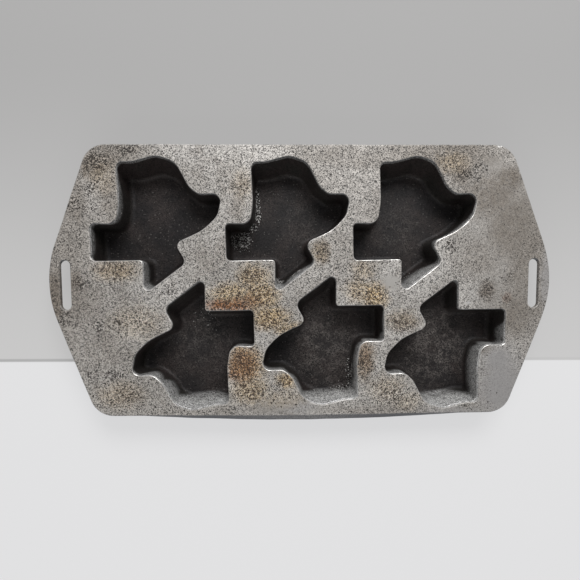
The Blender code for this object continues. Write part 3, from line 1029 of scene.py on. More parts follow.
@dataclass(frozen=True)
class SeasonedIron:
    """The inside of a mould: bare near the lip, black with baked oil below."""

    bare: Colour = (0.700, 0.694, 0.684)
    dull: Colour = (0.215, 0.212, 0.209)
    speck: Colour = (0.110, 0.102, 0.096)
    black: Colour = (0.0130, 0.0110, 0.0116)
    wall_black: Colour = (0.0250, 0.0225, 0.0205)
    brown: Colour = (0.0290, 0.0228, 0.0215)
    ash: Colour = (0.080, 0.071, 0.066)
    scratch_and_glint: Colour = (0.780, 0.770, 0.755)
    lip_reach: float = 0.0022
    wall_reach: float = 0.0260
    bare_walls: tuple[Spot, ...] = (
        Spot(-117, -69, 16, 8, 0.55), Spot(-104, -80, 11, 16, 0.7), Spot(-80, -94, 38, 13),
        Spot(-20, -66, 16, 7, 0.35), Spot(-4, -80, 11, 18, 0.45), Spot(24, -93, 36, 13),
        Spot(46, -66, 8, 30, 0.55), Spot(44, -86, 9, 16, 0.9), Spot(56, -41, 15, 6, 0.6),
        Spot(64, -30, 4, 12, 0.15),
        Spot(82, -70, 18, 7, 0.5), Spot(118, -96, 40, 15), Spot(142, -68, 10, 36, 0.65),
        Spot(152, -45, 18, 6, 0.6), Spot(162, -39, 5, 9, 0.5), Spot(124, -8, 4, 16, 0.10),
        Spot(92, 8, 26, 18, 0.65), Spot(97, 33, 6, 5, 0.5), Spot(116, 45, 34, 18, 0.40),
        Spot(-123, 8, 8, 18, 0.5), Spot(-143, 66, 7, 26, 0.25), Spot(-164, 36, 6, 16, 0.25),
        Spot(-48, -45, 15, 6, 0.5),
        Spot(-4, 10, 20, 14, 0.5), Spot(-19, 2, 7, 6, 0.7),
    )
    ash_spots: tuple[Spot, ...] = (
        Spot(22, -52, 34, 36, 0.75), Spot(110, -50, 36, 38), Spot(-82, -50, 34, 34, 0.4),
        Spot(80, 47, 20, 22, 0.4), Spot(-77, -27, 14, 14, 0.6), Spot(0, 52, 20, 20, 0.3),
    )

    def material(self, effects: Effects) -> bpy.types.Material:
        """Build the finish.

        Args:
            effects: the shared surface effects.

        Returns:
            The material.
        """
        paint = Paint.named("seasoned_casting")
        writer, place = paint.writer, paint.place
        ash = effects.marks(writer, writer.ragged(place, 0.016, 110.0), self.ash_spots)
        scoured = effects.marks(writer, place, self.bare_walls)
        _, _, height_above = writer.xyz(place)
        _, _, facing_up = writer.xyz(paint.normal())
        depth = writer.minus(PAN.deck_top, height_above)
        line = writer.scaled(scoured, self.wall_reach, self.lip_reach)
        seasoned = writer.group(effects.seasoning_line, Vector=place, Depth=depth, Line=line,
                                Ragged=writer.scaled(scoured, 0.0040, 0.0018),
                                Softness=writer.scaled(scoured, 0.0060, 0.0012))[0]

        mottle = writer.noise(place, 160.0, 5.0, 0.7)
        clouds = writer.noise(place, 36.0, 3.0, 0.55)
        floor = writer.ease(facing_up, 0.6, 0.95)
        dusty = writer.times(ash, floor, writer.ease(mottle, 0.42, 0.60, 0.15, 1.15))
        black = writer.mix(floor, self.wall_black, self.black)
        black = writer.mix(writer.ease(clouds, 0.38, 0.62), black, self.brown)
        black = writer.mix(dusty, black, self.ash)

        fading = writer.math("DIVIDE", depth, line)
        stretched = writer.vector("MULTIPLY", place, (1.0, 1.0, 4.0))
        streaks = writer.ease(writer.noise(stretched, 240.0, 4.0, 0.7), 0.53, 0.62, 0.0, 0.8)
        scratches = writer.times(
            writer.group(effects.handling_scratches, Vector=place, Share=0.95)[0],
            writer.ease(fading, 0.1, 0.5, 0.3, 1.0))
        on_wall = writer.times(scoured, writer.minus(1.0, floor))
        # Painted highlights: small glints on the scoured walls, mixed in the scratch colour.
        glints = effects.pitted(writer, place, writer.times(on_wall, 0.22), scale=620.0,
                                size=0.42)
        bare = writer.mix(scoured, self.dull, self.bare)
        for share, mark in ((writer.ease(fading, 0.35, 1.25), self.dull),
                            (streaks, self.wall_black), (scratches, self.scratch_and_glint),
                            (writer.times(glints, 0.85), self.scratch_and_glint)):
            bare = writer.mix(share, bare, mark)

        colour = writer.mix(seasoned, bare, black)
        colour, grain_height = paint.speckled(effects, colour,
                                              Contrast=writer.scaled(dusty, 1.2, 1.7))
        holes = effects.pitted(writer, place, writer.times(dusty, 0.55), scale=620.0, size=0.50)
        colour = writer.mix(writer.times(holes, 0.75), colour, self.black)
        specks = effects.pitted(writer, place, writer.times(floor, 0.12), scale=760.0, size=0.40)
        colour = writer.mix(writer.times(specks, 0.8), colour, self.speck)

        rough = writer.scaled(mottle, 0.30, 0.36)
        paint.dress(Base_Color=colour, Metallic=writer.scaled(seasoned, -0.35, 0.40),
                    Roughness=writer.scaled(dusty, 0.15, rough), Specular_IOR_Level=0.30)
        paint.roughen(writer.scaled(mottle, 1.6, grain_height), strength=0.6, distance=0.0004)
        return paint.material


@dataclass(frozen=True)
class CastSkin:
    """The underside: the rough dark skin of the sand casting, with old oil and some rust."""

    skin: Colour = (0.045, 0.040, 0.036)
    worn: Colour = (0.120, 0.110, 0.100)
    rust: Colour = (0.110, 0.055, 0.028)

    def material(self, effects: Effects) -> bpy.types.Material:
        """Build the finish.

        Args:
            effects: the shared surface effects.

        Returns:
            The material.
        """
        paint = Paint.named("cast_skin")
        writer, place = paint.writer, paint.place
        clouds = writer.noise(place, 30.0, 4.0, 0.6)
        sand = writer.noise(place, 620.0, 3.0, 0.7)
        lumps = writer.noise(place, 170.0, 3.0, 0.6)
        colour = writer.mix(writer.ease(clouds, 0.40, 0.66), self.skin, self.worn)
        colour = writer.mix(writer.ease(lumps, 0.56, 0.70, 0.0, 0.7), colour, self.rust)
        colour, _ = paint.speckled(effects, colour, Scale=600.0)
        paint.dress(Base_Color=colour, Metallic=0.2, Roughness=writer.scaled(lumps, 0.4, 0.45))
        paint.roughen(writer.scaled(lumps, 1.4, sand), strength=0.8, distance=0.0006)
        return paint.material


@dataclass(frozen=True)
class BurntCrust:
    """Hard grains of burnt oil and batter, with a glassy break; the pale ones are partly crumbs
    and partly painted glints.
    """

    dark: Colour = (0.014, 0.012, 0.011)
    # Pale grains: partly light crumbs, partly painted highlights that stand for glints.
    pale: Colour = (0.560, 0.550, 0.530)

    def material(self, effects: Effects) -> bpy.types.Material:
        """Build the finish.

        Args:
            effects: the shared surface effects.

        Returns:
            The material.
        """
        paint = Paint.named("burnt_crust")
        writer = paint.writer
        grain = writer.noise(paint.place, 700.0)
        colour = writer.mix(writer.ease(grain, 0.50, 0.56), self.dark, self.pale)
        colour, _ = paint.speckled(effects, colour, Scale=2500.0)
        paint.dress(Base_Color=colour, Roughness=writer.ease(grain, 0.4, 0.6, 0.18, 0.5))
        return paint.material


@dataclass(frozen=True)
class StudioPaper:
    """Pale paper under the pan, painted greyer behind it and whiter in front, with a painted dark
    crease line between: shade and light as on an upright backdrop and a lit table.
    """

    # Painted shade: greyer behind the pan, a dark crease line, whiter in front.
    behind: Colour = (0.355, 0.351, 0.349)
    beside: Colour = (0.600, 0.595, 0.593)
    front: Colour = (0.850, 0.850, 0.862)
    crease_shade: Colour = (0.300, 0.300, 0.300)
    paper: Colour = (0.640, 0.638, 0.636)
    own_light: float = 0.70
    slope: float = 0.0047
    darkens: Span = (-0.08, 0.20)
    fold_line: Span = (-0.0602, -0.0616)
    fold_fades: Span = (0.30, -0.30)
    front_line: Span = (-0.0626, -0.0640)

    def material(self) -> bpy.types.Material:
        """Build the paper, which the camera sees part lit by the lamps and part by itself.

        Returns:
            The material.
        """
        paint = Paint.named("studio_paper")
        writer = paint.writer
        x, across, _ = writer.xyz(paint.place)
        y = writer.scaled(x, self.slope, across)
        # Painted shade: a dark line across the paper where it would turn up, fading towards the
        # sides.
        folded = writer.times(writer.ease(y, *self.fold_line),
                              writer.ease(x, *self.fold_fades, 0.15, 0.75))
        tone = writer.mix(writer.ease(y, *self.darkens), self.beside, self.behind)
        tone = writer.mix(folded, tone, self.crease_shade)
        tone = writer.mix(writer.ease(y, *self.front_line), tone, self.front)
        paint.dress(Base_Color=(*self.paper, 1.0), Roughness=0.9, Specular_IOR_Level=0.0)
        glow = writer.add("ShaderNodeEmission", {"Color": tone, "Strength": 1.0})
        ray = writer.add("ShaderNodeLightPath").outputs
        clear = writer.highest(ray["Is Glossy Ray"], ray["Is Transmission Ray"])
        seen = writer.times(writer.highest(ray["Is Camera Ray"], clear), self.own_light)
        surface = writer.add("ShaderNodeMixShader", {0: seen, 1: paint.shader.outputs[0],
                                                     2: glow.outputs[0]})
        output = writer.tree.nodes["Material Output"]
        writer.feed(output.inputs["Surface"], surface.outputs[0])
        return paint.material


# Meshes

def link(thing: bpy.types.Object) -> bpy.types.Object:
    """Put an object in the scene."""
    bpy.context.scene.collection.objects.link(thing)
    return thing


def path_object(name: str, outlines: Iterable[Sequence[Vector]]) -> bpy.types.Object:
    """Make a curve object of closed straight-stepped paths, all in one plane.

    Args:
        name: the object's name.
        outlines: the points of each path.

    Returns:
        The object.
    """
    curve = bpy.data.curves.new(name, "CURVE")
    curve.dimensions = "3D"
    for outline in outlines:
        spline = curve.splines.new("POLY")
        spline.points.add(len(outline) - 1)
        for point, place in zip(spline.points, outline):
            point.co = (place.x, place.y, 0.0, 1.0)
        spline.use_cyclic_u = True
    return link(bpy.data.objects.new(name, curve))


def grown_mesh(name: str, tree: bpy.types.NodeTree, values: dict[str, object],
               base: bpy.types.Mesh | None = None) -> bpy.types.Mesh:
    """Run a Geometry Nodes tree and return what it makes as a plain mesh.

    Args:
        name: the name of the new mesh.
        tree: the tree to run.
        values: the tree's inputs by name.
        base: the mesh that goes into the tree, if it takes one.

    Returns:
        The finished mesh, with nothing left of the tree.
    """
    host = link(bpy.data.objects.new(f"{name}_host", base or bpy.data.meshes.new(f"{name}_base")))
    modifier = host.modifiers.new("grow", "NODES")
    modifier.node_group = tree
    for socket in tree.interface.items_tree:
        if socket.name in values:
            modifier[socket.identifier] = values[socket.name]
    evaluated = host.evaluated_get(bpy.context.evaluated_depsgraph_get())
    mesh = bpy.data.meshes.new_from_object(evaluated)
    mesh.name = name
    bpy.data.objects.remove(host, do_unlink=True)
    return mesh


def loft(name: str, rings: Sequence[Sequence[Vector]], inside_from: int) -> bpy.types.Mesh:
    """Make a closed body through rings.

    Args:
        name: the name of the new mesh.
        rings: the rings in order, each with as many points.
        inside_from: the index of the first ring that belongs to the inside, whose faces get the
            second material.

    Returns:
        The new mesh. Its two end faces are flat and the rest are smooth.
    """
    body = bmesh.new()
    loops = [[body.verts.new(point) for point in ring] for ring in rings]
    for level, (lower, upper) in enumerate(zip(loops, loops[1:])):
        for index in range(len(lower)):
            face = body.faces.new((lower[index - 1], lower[index], upper[index],
                                   upper[index - 1]))
            face.smooth = True
            face.material_index = (MouldFinish.SEASONED if level + 1 >= inside_from
                                   else MouldFinish.SKIN)
    body.faces.new(loops[0])
    body.faces.new(loops[-1]).material_index = MouldFinish.SEASONED
    bmesh.ops.remove_doubles(body, verts=body.verts, dist=FINENESS.same_point)
    ends = [face for face in body.faces if not face.smooth]
    bmesh.ops.triangulate(body, faces=ends)
    bmesh.ops.recalc_face_normals(body, faces=body.faces)
    mesh = bpy.data.meshes.new(name)
    body.to_mesh(mesh)
    body.free()
    return mesh


# Geometry Nodes

class Growth:
    """The Geometry Nodes trees of the pan."""

    def __init__(self) -> None:
        """Build every tree once."""
        self.edge_profile = self._edge_profile()
        self.deck = self._deck()
        self.crust = self._crust()

    @staticmethod
    def _edge_profile() -> bpy.types.NodeTree:
        """Build the section of a plate's edge, rounded above and below.

        X is how far it stands off the path and Y is how far down it lies. With no lower radius it
        runs from the foot of the upper rounding straight back to the path.

        Returns:
            The tree.
        """
        writer, given, fed = new_group(
            "rounded_edge", "GeometryNodeTree",
            {"Upper Radius": FLOAT, "Lower Radius": FLOAT, "Thickness": FLOAT}, ("Profile",))
        upper, lower, thickness = given.values()
        steps = FINENESS.rounding_steps
        step_turn = math.pi / 2 / steps
        index = writer.add("GeometryNodeInputIndex").outputs[0]
        past = writer.highest(writer.minus(index, steps + 1), 0.0)
        upper_turn = writer.times(writer.math("MINIMUM", index, steps), step_turn)
        lower_turn = writer.times(past, step_turn)
        upper_off = writer.times(upper, writer.math("SINE", upper_turn))
        lower_off = writer.times(lower, writer.math("COSINE", lower_turn))
        upper_down = writer.times(upper, writer.minus(1.0, writer.math("COSINE", upper_turn)))
        rise = writer.times(lower, writer.minus(1.0, writer.math("SINE", lower_turn)))
        lower_down = writer.minus(thickness, rise)
        below = writer.math("GREATER_THAN", index, steps + 0.5)
        off, down = (writer.add("ShaderNodeMix", {0: below, 2: first, 3: second}).outputs[0]
                     for first, second in ((upper_off, lower_off), (upper_down, lower_down)))
        line = writer.geometry("CurvePrimitiveLine")
        points = writer.geometry("ResampleCurve", Curve=line, Count=2 * steps + 2)
        writer.feed(fed["Profile"], writer.geometry("SetPosition", Geometry=points,
                                                    Position=writer.combined(X=off, Y=down)))
        return writer.tree

    def _edge_along(self, writer: NodeWriter, path: Socket, upper: Socket, lower: Value,
                    thickness: Socket) -> Socket:
        """Sweep a plate's edge along a path.

        Args:
            writer: the writer of the tree.
            path: the path.
            upper: the upper rounding's radius.
            lower: the lower rounding's radius, or nothing.
            thickness: the plate's thickness.

        Returns:
            The edge.
        """
        upright = writer.add("GeometryNodeSetCurveNormal", {"Curve": path}, mode="Z_UP")
        profile = writer.group(self.edge_profile, Upper_Radius=upper, Lower_Radius=lower,
                               Thickness=thickness)[0]
        sweep = writer.geometry("CurveToMesh", Curve=upright.outputs[0], Profile_Curve=profile)
        return writer.geometry("SetShadeSmooth", Geometry=sweep)

    def _deck(self) -> bpy.types.NodeTree:
        """Build the plate: its faces between the paths, and a rounded edge along each path.

        Returns:
            The tree.
        """
        sizes = ("Thickness", "Top Height", "Rim Radius", "Lip Radius", "Slot Radius",
                 "Ground Bow", "Ground Half Length", "Ground Line")
        writer, given, fed = new_group(
            "deck_plate", "GeometryNodeTree",
            {"Rim Path": OBJECT, "Mouth Paths": OBJECT, "Slot Paths": OBJECT,
             **dict.fromkeys(sizes, FLOAT), "Top Material": MATERIAL,
             "Skin Material": MATERIAL}, ("Geometry",))
        thickness = given["Thickness"]
        paths = []
        edges = []
        for source, upper, lower in (("Rim Path", given["Rim Radius"], given["Rim Radius"]),
                                     ("Mouth Paths", given["Lip Radius"], 0.0),
                                     ("Slot Paths", given["Slot Radius"], given["Slot Radius"])):
            info = writer.add("GeometryNodeObjectInfo", {"Object": given[source]})
            path = info.outputs["Geometry"]
            paths.append(path)
            edges.append(self._edge_along(writer, path, upper, lower, thickness))
        top = writer.geometry("FillCurve", Curve=self._join(writer, paths))
        drop = writer.combined(Z=writer.times(thickness, -1.0))
        lowered = writer.geometry("Transform", Geometry=top, Translation=drop)
        faces = self._join(writer, [top, writer.geometry("FlipFaces", Mesh=lowered)])
        flat = writer.geometry("SetShadeSmooth", Geometry=faces, Shade_Smooth=False)
        whole = writer.geometry("MergeByDistance", Geometry=self._join(writer, [flat, *edges]),
                                Distance=FINENESS.seam)
        raised = writer.geometry("Transform", Geometry=self._ground_edge(writer, whole, given),
                                 Translation=writer.combined(Z=given["Top Height"]))
        topped = writer.geometry("SetMaterial", Material=given["Top Material"],
                                 Geometry=writer.geometry("RealizeInstances", Geometry=raised))
        _, _, facing_up = writer.xyz(writer.geometry("InputNormal"))
        under = writer.math("LESS_THAN", facing_up, -0.5)
        writer.feed(fed["Geometry"], writer.geometry(
            "SetMaterial", Geometry=topped, Selection=under, Material=given["Skin Material"]))
        return writer.tree

    @staticmethod
    def _join(writer: NodeWriter, parts: Sequence[Socket]) -> Socket:
        """Join several geometries.

        Args:
            writer: the writer of the tree.
            parts: the geometries.

        Returns:
            All of them as one.
        """
        node = writer.add("GeometryNodeJoinGeometry")
        for part in parts:
            writer.feed(node.inputs[0], part)
        return node.outputs[0]

    @staticmethod
    def _ground_edge(writer: NodeWriter, whole: Socket, given: dict[str, Socket]) -> Socket:
        """Bow the lower long edge out towards its underside.

        Args:
            writer: the writer of the tree.
            whole: the plate.
            given: the tree's inputs by name.

        Returns:
            The bowed plate.
        """
        x, y, z = writer.xyz(writer.geometry("InputPosition"))
        share = writer.math("DIVIDE", x, given["Ground Half Length"])
        curve = writer.highest(writer.minus(1.0, writer.times(share, share)), 0.0)
        depth_share = writer.math("DIVIDE", writer.times(z, -1.0), given["Thickness"])
        reach = writer.times(curve, depth_share, given["Ground Bow"], -1.0)
        beside = writer.math("ADD", given["Ground Line"], writer.times(given["Rim Radius"], 2.0))
        return writer.geometry("SetPosition", Geometry=whole, Offset=writer.combined(Y=reach),
                               Selection=writer.math("LESS_THAN", y, beside))

    @staticmethod
    def _crust() -> bpy.types.NodeTree:
        """Build a patch of hard grains that sit on a mould's surface round one place.

        Returns:
            The tree.
        """
        writer, given, fed = new_group(
            "burnt_crust", "GeometryNodeTree",
            {"Mould": GEOMETRY, "Centre": VECTOR, "Reach": VECTOR, "Density": FLOAT,
             "Grain": 0.00045, "Seed": WHOLE, "Material": MATERIAL}, ("Geometry",))
        seed = given["Seed"]
        smallest, largest = (0.5, 0.4, 0.25), (1.6, 1.3, 0.7)
        most_turned = (0.5, 0.5, math.tau)
        off_centre = writer.vector("SUBTRACT", writer.geometry("InputPosition"), given["Centre"])
        off = writer.vector("DIVIDE", off_centre, given["Reach"])
        near = writer.ease(writer.vector("LENGTH", off), 1.2, 0.3)
        points = writer.add("GeometryNodeDistributePointsOnFaces", {
            "Mesh": given["Mould"], "Density": given["Density"], "Seed": seed})
        _, _, facing_up = writer.xyz(points.outputs["Normal"])
        inside = writer.math("GREATER_THAN", facing_up, 0.02)
        chance = writer.add("FunctionNodeRandomValue", {"Seed": seed},
                            data_type="FLOAT").outputs[1]
        chosen = writer.times(inside, writer.math("LESS_THAN", chance, near))
        size, spin = (
            writer.add("FunctionNodeRandomValue", {0: least, 1: most, "Seed": seed},
                       data_type="FLOAT_VECTOR").outputs[0]
            for least, most in ((smallest, largest), ((0.0, 0.0, 0.0), most_turned)))
        turn = writer.add("FunctionNodeEulerToRotation", {0: spin}).outputs[0]
        turned = writer.add("FunctionNodeRotateRotation", {0: points.outputs["Rotation"], 1: turn},
                            rotation_space="LOCAL").outputs[0]
        grain = writer.geometry("MeshIcoSphere", Radius=given["Grain"], Subdivisions=1)
        placed = writer.geometry("InstanceOnPoints", Points=points.outputs["Points"],
                                 Selection=chosen, Instance=grain, Rotation=turned, Scale=size)
        real = writer.geometry("RealizeInstances", Geometry=placed)
        writer.feed(fed["Geometry"], writer.geometry("SetMaterial", Geometry=real,
                                                     Material=given["Material"]))
        return writer.tree


# Pieces of the pan

@dataclass(frozen=True)
class Wardrobe:
    """The materials that the pieces wear."""

    ground: bpy.types.Material
    seasoned: bpy.types.Material
    skin: bpy.types.Material
    crust: bpy.types.Material


def finish_piece(piece: bpy.types.Object, nodes: Sequence[str]) -> None:
    """Fix a piece to the pan's body and hide the frame's nodes that it replaces.

    Args:
        piece: the piece.
        nodes: the frame's nodes that it replaces.
    """
    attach(piece, ROOT_BODY)
    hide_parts(*nodes)
    LOG.info("%s: %d faces", piece.name, len(piece.data.polygons))


@dataclass(frozen=True)
class Deck:
    """The flat top of the casting with its two slotted handle ends."""

    flank_lean: float = math.radians(20.5)
    corner_radius: float = 0.0185
    end_radius: float = 0.0865
    rim_radius: float = 0.0009
    ground_corner_gap: float = 0.0095
    slot_length: float = 0.0405
    slot_width: float = 0.0102
    slot_outer_bar: float = 0.0074
    slot_drop: float = 0.0016
    slot_edge_radius: float = 0.0010
    nodes: tuple[str, ...] = ("deck_left_bay", "deck_middle_bay", "deck_right_bay",
                              "left_handle_end", "right_handle_end")

    def outline(self) -> Outline:
        """Return the deck's outline about its own middle, with bowed ends as rounded points.

        Returns:
            The outline.
        """
        half_width = PAN.deck_width / 2
        beyond_end = self.end_radius * (1 / math.cos(self.flank_lean) - 1)
        point_x = PAN.deck_length / 2 + beyond_end
        corner_x = point_x - half_width * math.tan(self.flank_lean)
        return Outline((
            Corner(-corner_x, -half_width, self.corner_radius),
            Corner(corner_x, -half_width, self.corner_radius),
            Corner(point_x, 0.0, self.end_radius),
            Corner(corner_x, half_width, self.corner_radius),
            Corner(-corner_x, half_width, self.corner_radius),
            Corner(-point_x, 0.0, self.end_radius),
        ))

    def rim_path(self) -> list[Vector]:
        """Return where the flat top ends and the rounded rim begins."""
        middle = Vector((0.0, PAN.deck_middle_y))
        return [point + middle + HAND_WORK.shift(point)
                for point in self.outline().ring(self.rim_radius)]

    def ground_half_length(self) -> float:
        """Return half the length of the ground face on the lower long edge.

        Returns:
            The length in metres.
        """
        lowest = -PAN.deck_width / 2
        straight = [point.x for point in self.outline().ring()
                    if abs(point.y - lowest) < FINENESS.same_point]
        return max(straight) - self.ground_corner_gap

    def slot_paths(self) -> list[list[Vector]]:
        """Return the outlines of the two finger slots, clockwise.

        Returns:
            The left slot's points and the right one's.
        """
        half_width = self.slot_width / 2
        half_run = self.slot_length / 2 - half_width
        turns = [step * FINENESS.arc_step
                 for step in range(round(math.pi / FINENESS.arc_step) + 1)]
        top_end = [Vector((-half_width * math.cos(turn), half_run + half_width * math.sin(turn)))
                   for turn in turns]
        slot = top_end + [-point for point in top_end]
        slot_x = PAN.deck_length / 2 - self.slot_outer_bar - half_width
        slot_y = PAN.deck_middle_y - self.slot_drop
        return [[point + Vector((side * slot_x, slot_y)) for point in slot] for side in (-1, 1)]

    def build(self, growth: Growth, wardrobe: Wardrobe, mouths: Sequence[Sequence[Vector]]
              ) -> bpy.types.Object:
        """Build the deck.

        Args:
            growth: the Geometry Nodes trees.
            wardrobe: the materials.
            mouths: the outlines of the six mouths, clockwise.

        Returns:
            The finished piece.
        """
        paths = {
            "Rim Path": path_object("rim_path", [self.rim_path()]),
            "Mouth Paths": path_object("mouth_paths", mouths),
            "Slot Paths": path_object("slot_paths", self.slot_paths()),
        }
        mesh = grown_mesh("deck", growth.deck, {
            **paths,
            "Thickness": PAN.deck_thickness,
            "Top Height": PAN.deck_top,
            "Rim Radius": self.rim_radius,
            "Lip Radius": PAN.lip_radius,
            "Slot Radius": self.slot_edge_radius,
            "Ground Bow": PAN.ground_bow,
            "Ground Half Length": self.ground_half_length(),
            "Ground Line": PAN.deck_middle_y - PAN.deck_width / 2,
            "Top Material": wardrobe.ground,
            "Skin Material": wardrobe.skin,
        })
        for path in paths.values():
            bpy.data.objects.remove(path, do_unlink=True)
        deck = link(bpy.data.objects.new("deck", mesh))
        finish_piece(deck, self.nodes)
        return deck


@dataclass(frozen=True)
class CrustPatch:
    """A patch of grains in one mould, in millimetres on the pan."""

    mould: str
    x: float
    y: float
    depth: float
    reach: tuple[float, float, float]
    per_square_mm: float
    seed: int


@dataclass(frozen=True)
class Mould:
    """One state-shaped cup: a drafted wall, a filleted floor and the skin under them."""

    place: MouldPlace
    draft: float = math.radians(3.0)
    wall: float = 0.0034
    floor_fillet: float = 0.0040
    outer_fillet: float = 0.0050
    root_fillet: float = 0.0022
    wall_rows: int = 8

    def outline(self) -> Outline:
        """Return the mould's outline at its mouth, about its own middle."""
        return Outline([Corner(OUTLINE_UNIT * corner.x, OUTLINE_UNIT * corner.y,
                               OUTLINE_UNIT * corner.radius, OUTLINE_UNIT * corner.lean)
                        for corner in MOULD_OUTLINE])

    def at_pan(self, ring: Iterable[Vector]) -> list[Vector]:
        """Return a ring of the mould's own plane in the pan's plane, slightly uneven.

        Args:
            ring: the points.

        Returns:
            The points on the pan.
        """
        own = [HAND_WORK.stretched(self.place.name, point) for point in ring]
        placed = [self.place.to_pan(point) for point in own]
        return [point + HAND_WORK.shift(point) for point in placed]

    def mouth(self) -> list[Vector]:
        """Return the mouth's outline in the pan's plane, clockwise."""
        return self.at_pan(self.outline().ring(-PAN.lip_outset))

    def inset(self, depth: float) -> float:
        """Return how far in the wall lies at a depth below the deck."""
        top = PAN.lip_radius - PAN.lip_outset
        return top + (depth - PAN.lip_radius) * math.tan(self.draft)

    def lean_share(self, depth: float) -> float:
        """Return the share of a side's own lean that is reached at a depth."""
        foot = PAN.cavity_depth - self.floor_fillet
        return min(max((depth - PAN.lip_radius) / (foot - PAN.lip_radius), 0.0), 1.0)

    def outer_levels(self) -> list[tuple[float, float]]:
        """Return depths and insets of the outer skin, from the table up to its seat.

        Returns:
            A depth and an inset for each ring.
        """
        whole = PAN.cavity_depth + PAN.floor_thickness
        foot = whole - self.outer_fillet
        skin = [
            (foot + self.outer_fillet * math.cos(turn),
             self.inset(foot) - self.wall + self.outer_fillet * (1 - math.sin(turn)))
            for turn in self._quarter()
        ]
        root = [
            (PAN.deck_thickness + self.root_fillet * (1 - math.sin(turn)),
             self.inset(PAN.deck_thickness) - self.wall - self.root_fillet * (1 - math.cos(turn)))
            for turn in self._quarter()
        ]
        return skin + root

    def _quarter(self) -> list[float]:
        """Return the turns of a fillet's rows, through a right angle."""
        rows = FINENESS.rounding_steps
        return [math.pi / 2 * row / rows for row in range(rows + 1)]

    def inner_levels(self) -> list[tuple[float, float]]:
        """Return depths and insets of the neck and the cavity, from the seat down to the floor.

        Returns:
            A depth and an inset for each ring.
        """
        foot = PAN.cavity_depth - self.floor_fillet
        neck = [(PAN.deck_thickness, -PAN.lip_outset)]
        depths = [PAN.lip_radius + (foot - PAN.lip_radius) * row / self.wall_rows
                  for row in range(self.wall_rows)]
        walls = [(depth, self.inset(depth)) for depth in depths]
        fillet = [
            (foot + self.floor_fillet * math.sin(turn),
             self.inset(foot) + self.floor_fillet * (1 - math.cos(turn)))
            for turn in self._quarter()
        ]
        return neck + walls + fillet

    def body(self, outline: Outline) -> bpy.types.Mesh:
        """Return the cup as one closed body.

        Args:
            outline: the mould's outline at its mouth.

        Returns:
            The new mesh.
        """
        outer = self.outer_levels()
        rings = []
        for depth, inset in outer + self.inner_levels():
            ring = self.at_pan(outline.ring(inset, self.lean_share(depth)))
            rings.append([Vector((*point, PAN.deck_top - depth)) for point in ring])
        return loft(f"mould_{self.place.name}", rings, len(outer) + 1)

    def crust(self, mesh: bpy.types.Mesh, patch: CrustPatch, growth: Growth,
              wardrobe: Wardrobe) -> bpy.types.Mesh:
        """Return the grains of one patch.

        Args:
            mesh: the mould that they sit on.
            patch: the patch.
            growth: the Geometry Nodes trees.
            wardrobe: the materials.

        Returns:
            The grains' mesh.
        """
        height = PAN.deck_top - patch.depth / MM_IN_METRE
        return grown_mesh(f"crust_{self.place.name}", growth.crust, {
            "Centre": (patch.x / MM_IN_METRE, patch.y / MM_IN_METRE, height),
            "Reach": tuple(reach / MM_IN_METRE for reach in patch.reach),
            "Density": patch.per_square_mm * MM_IN_METRE ** 2,
            "Seed": patch.seed,
            "Material": wardrobe.crust,
        }, base=mesh)

    def build(self, growth: Growth, wardrobe: Wardrobe, patches: Sequence[CrustPatch]
              ) -> bpy.types.Object:
        """Build the mould, with any grains that are baked on it.

        Args:
            growth: the Geometry Nodes trees.
            wardrobe: the materials.
            patches: the patches of grains in this mould.

        Returns:
            The finished piece.
        """
        mesh = self.body(self.outline())
        for material in (wardrobe.skin, wardrobe.seasoned, wardrobe.crust):
            mesh.materials.append(material)
        grains = [self.crust(mesh, patch, growth, wardrobe) for patch in patches]
        whole = bmesh.new()
        whole.from_mesh(mesh)
        for grain in grains:
            first_new = len(whole.faces)
            whole.from_mesh(grain)
            whole.faces.ensure_lookup_table()
            for face in whole.faces[first_new:]:
                face.material_index = MouldFinish.CRUST
        whole.to_mesh(mesh)
        whole.free()
        mould = link(bpy.data.objects.new(mesh.name, mesh))
        finish_piece(mould, [f"mould_{self.place.name}"])
        return mould


CRUST_PATCHES = (
    CrustPatch("upper_middle", -49, 38, 26, (9, 9, 5), 2.6, 11),
    CrustPatch("upper_middle", -35.5, 72, 26, (2, 12, 5), 3.0, 12),
    CrustPatch("upper_middle", -35, 60, 26, (3, 8, 5), 3.0, 13),
    CrustPatch("upper_middle", -40, 50, 26, (5, 4, 5), 2.5, 21),
    CrustPatch("upper_middle", -18, 4, 22, (4, 4, 8), 4.0, 14),
    # A dense thin line of grains: part crust, part a painted glint line along this wall.
    CrustPatch("upper_middle", -4, 12, 15, (8, 5, 1.6), 5.0, 15),
    CrustPatch("lower_middle", 41, -74, 23, (3, 16, 8), 1.2, 16),
    CrustPatch("lower_middle", 34, -85, 22, (12, 5, 8), 0.9, 17),
    CrustPatch("lower_left", -80, -26, 27, (12, 12, 4), 0.15, 18),
    CrustPatch("lower_left", -80, -90, 20, (22, 6, 9), 0.25, 20),
    CrustPatch("upper_right", 84, 9, 23, (8, 7, 7), 0.7, 19),
)


# Studio

@dataclass(frozen=True)
class Camera:
    """The photograph's view: nearly straight down on the deck, from close by."""

    place: tuple[float, float, float] = (-0.0165, -0.0172, 0.3756)
    turn_degrees: tuple[float, float, float] = (-3.97, -1.16, -0.33)
    focal_pixels: float = 436.0
    frame_pixels: float = 580.0
    shift_y: float = 48 / 580
    sensor: float = 36.0

    def build(self) -> None:
        """Make the camera and give it to the scene."""
        data = bpy.data.cameras.new("camera")
        data.sensor_width = self.sensor
        data.lens = self.sensor * self.focal_pixels / self.frame_pixels
        data.shift_y = self.shift_y
        camera = link(bpy.data.objects.new("camera", data))
        camera.location = self.place
        camera.rotation_euler = Euler([math.radians(turn) for turn in self.turn_degrees], "XYZ")
        bpy.context.scene.camera = camera


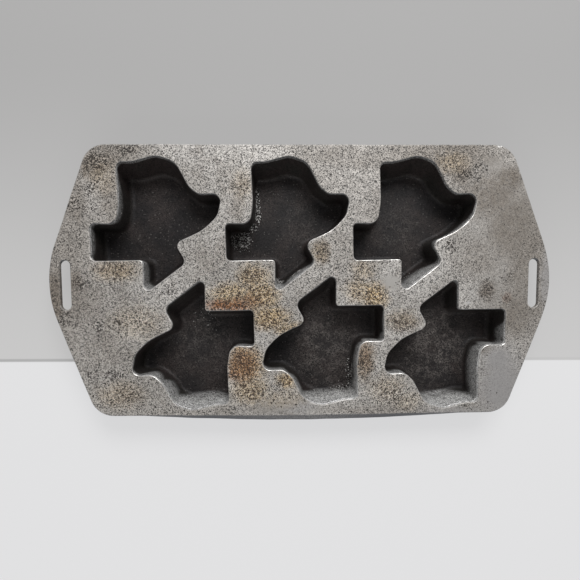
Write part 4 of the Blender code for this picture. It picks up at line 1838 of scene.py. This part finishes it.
@dataclass(frozen=True)
class SoftBox:
    """A soft lamp that looks at the pan."""

    name: str
    place: tuple[float, float, float]
    width: float
    height: float
    power: float

    def build(self) -> None:
        """Make the lamp."""
        data = bpy.data.lights.new(self.name, "AREA")
        data.shape = "RECTANGLE"
        data.size = self.width
        data.size_y = self.height
        data.energy = self.power
        lamp = link(bpy.data.objects.new(self.name, data))
        lamp.location = self.place
        lamp.rotation_euler = (-Vector(self.place)).to_track_quat("-Z", "Y").to_euler()


@dataclass(frozen=True)
class Studio:
    """A plain pale floor and soft light from behind the pan."""

    floor_reach: float = 3.0
    sky: Colour = (1.0, 1.0, 1.0)
    sky_strength: float = 0.30
    lamps: tuple[SoftBox, ...] = (
        SoftBox("back_softbox", (0.16, 0.80, 0.95), 0.8, 0.5, 11.4),
        SoftBox("front_softbox", (-0.20, -0.95, 0.70), 1.2, 0.6, 3.6),
    )

    def build(self) -> None:
        """Make the floor, the lamps and the world, and set how colours are shown."""
        reach = self.floor_reach
        mesh = bpy.data.meshes.new("floor")
        mesh.from_pydata([(-reach, -reach, 0), (reach, -reach, 0), (reach, reach, 0),
                          (-reach, reach, 0)], [], [(0, 1, 2, 3)])
        mesh.materials.append(StudioPaper().material())
        floor = link(bpy.data.objects.new("floor", mesh))
        for lamp in self.lamps:
            lamp.build()
        world = bpy.data.worlds.new("sky")
        world.use_nodes = True
        background = world.node_tree.nodes["Background"]
        background.inputs["Color"].default_value = (*self.sky, 1.0)
        background.inputs["Strength"].default_value = self.sky_strength
        bpy.context.scene.world = world
        bpy.context.scene.view_settings.view_transform = "Standard"


def main() -> None:
    """Build the studio and the pan, piece by piece."""
    logging.basicConfig(level=logging.INFO, format="%(name)s: %(message)s")
    noise.seed_set(HAND_WORK.seed)
    Studio().build()
    Camera().build()
    effects = Effects()
    wardrobe = Wardrobe(
        ground=GroundIron().material(effects),
        seasoned=SeasonedIron().material(effects),
        skin=CastSkin().material(effects),
        crust=BurntCrust().material(effects),
    )
    growth = Growth()
    moulds = [Mould(place) for place in PAN.places()]
    Deck().build(growth, wardrobe, [mould.mouth() for mould in moulds])
    for mould in moulds:
        patches = [patch for patch in CRUST_PATCHES if patch.mould == mould.place.name]
        mould.build(growth, wardrobe, patches)


if __name__ == "__main__":
    main()
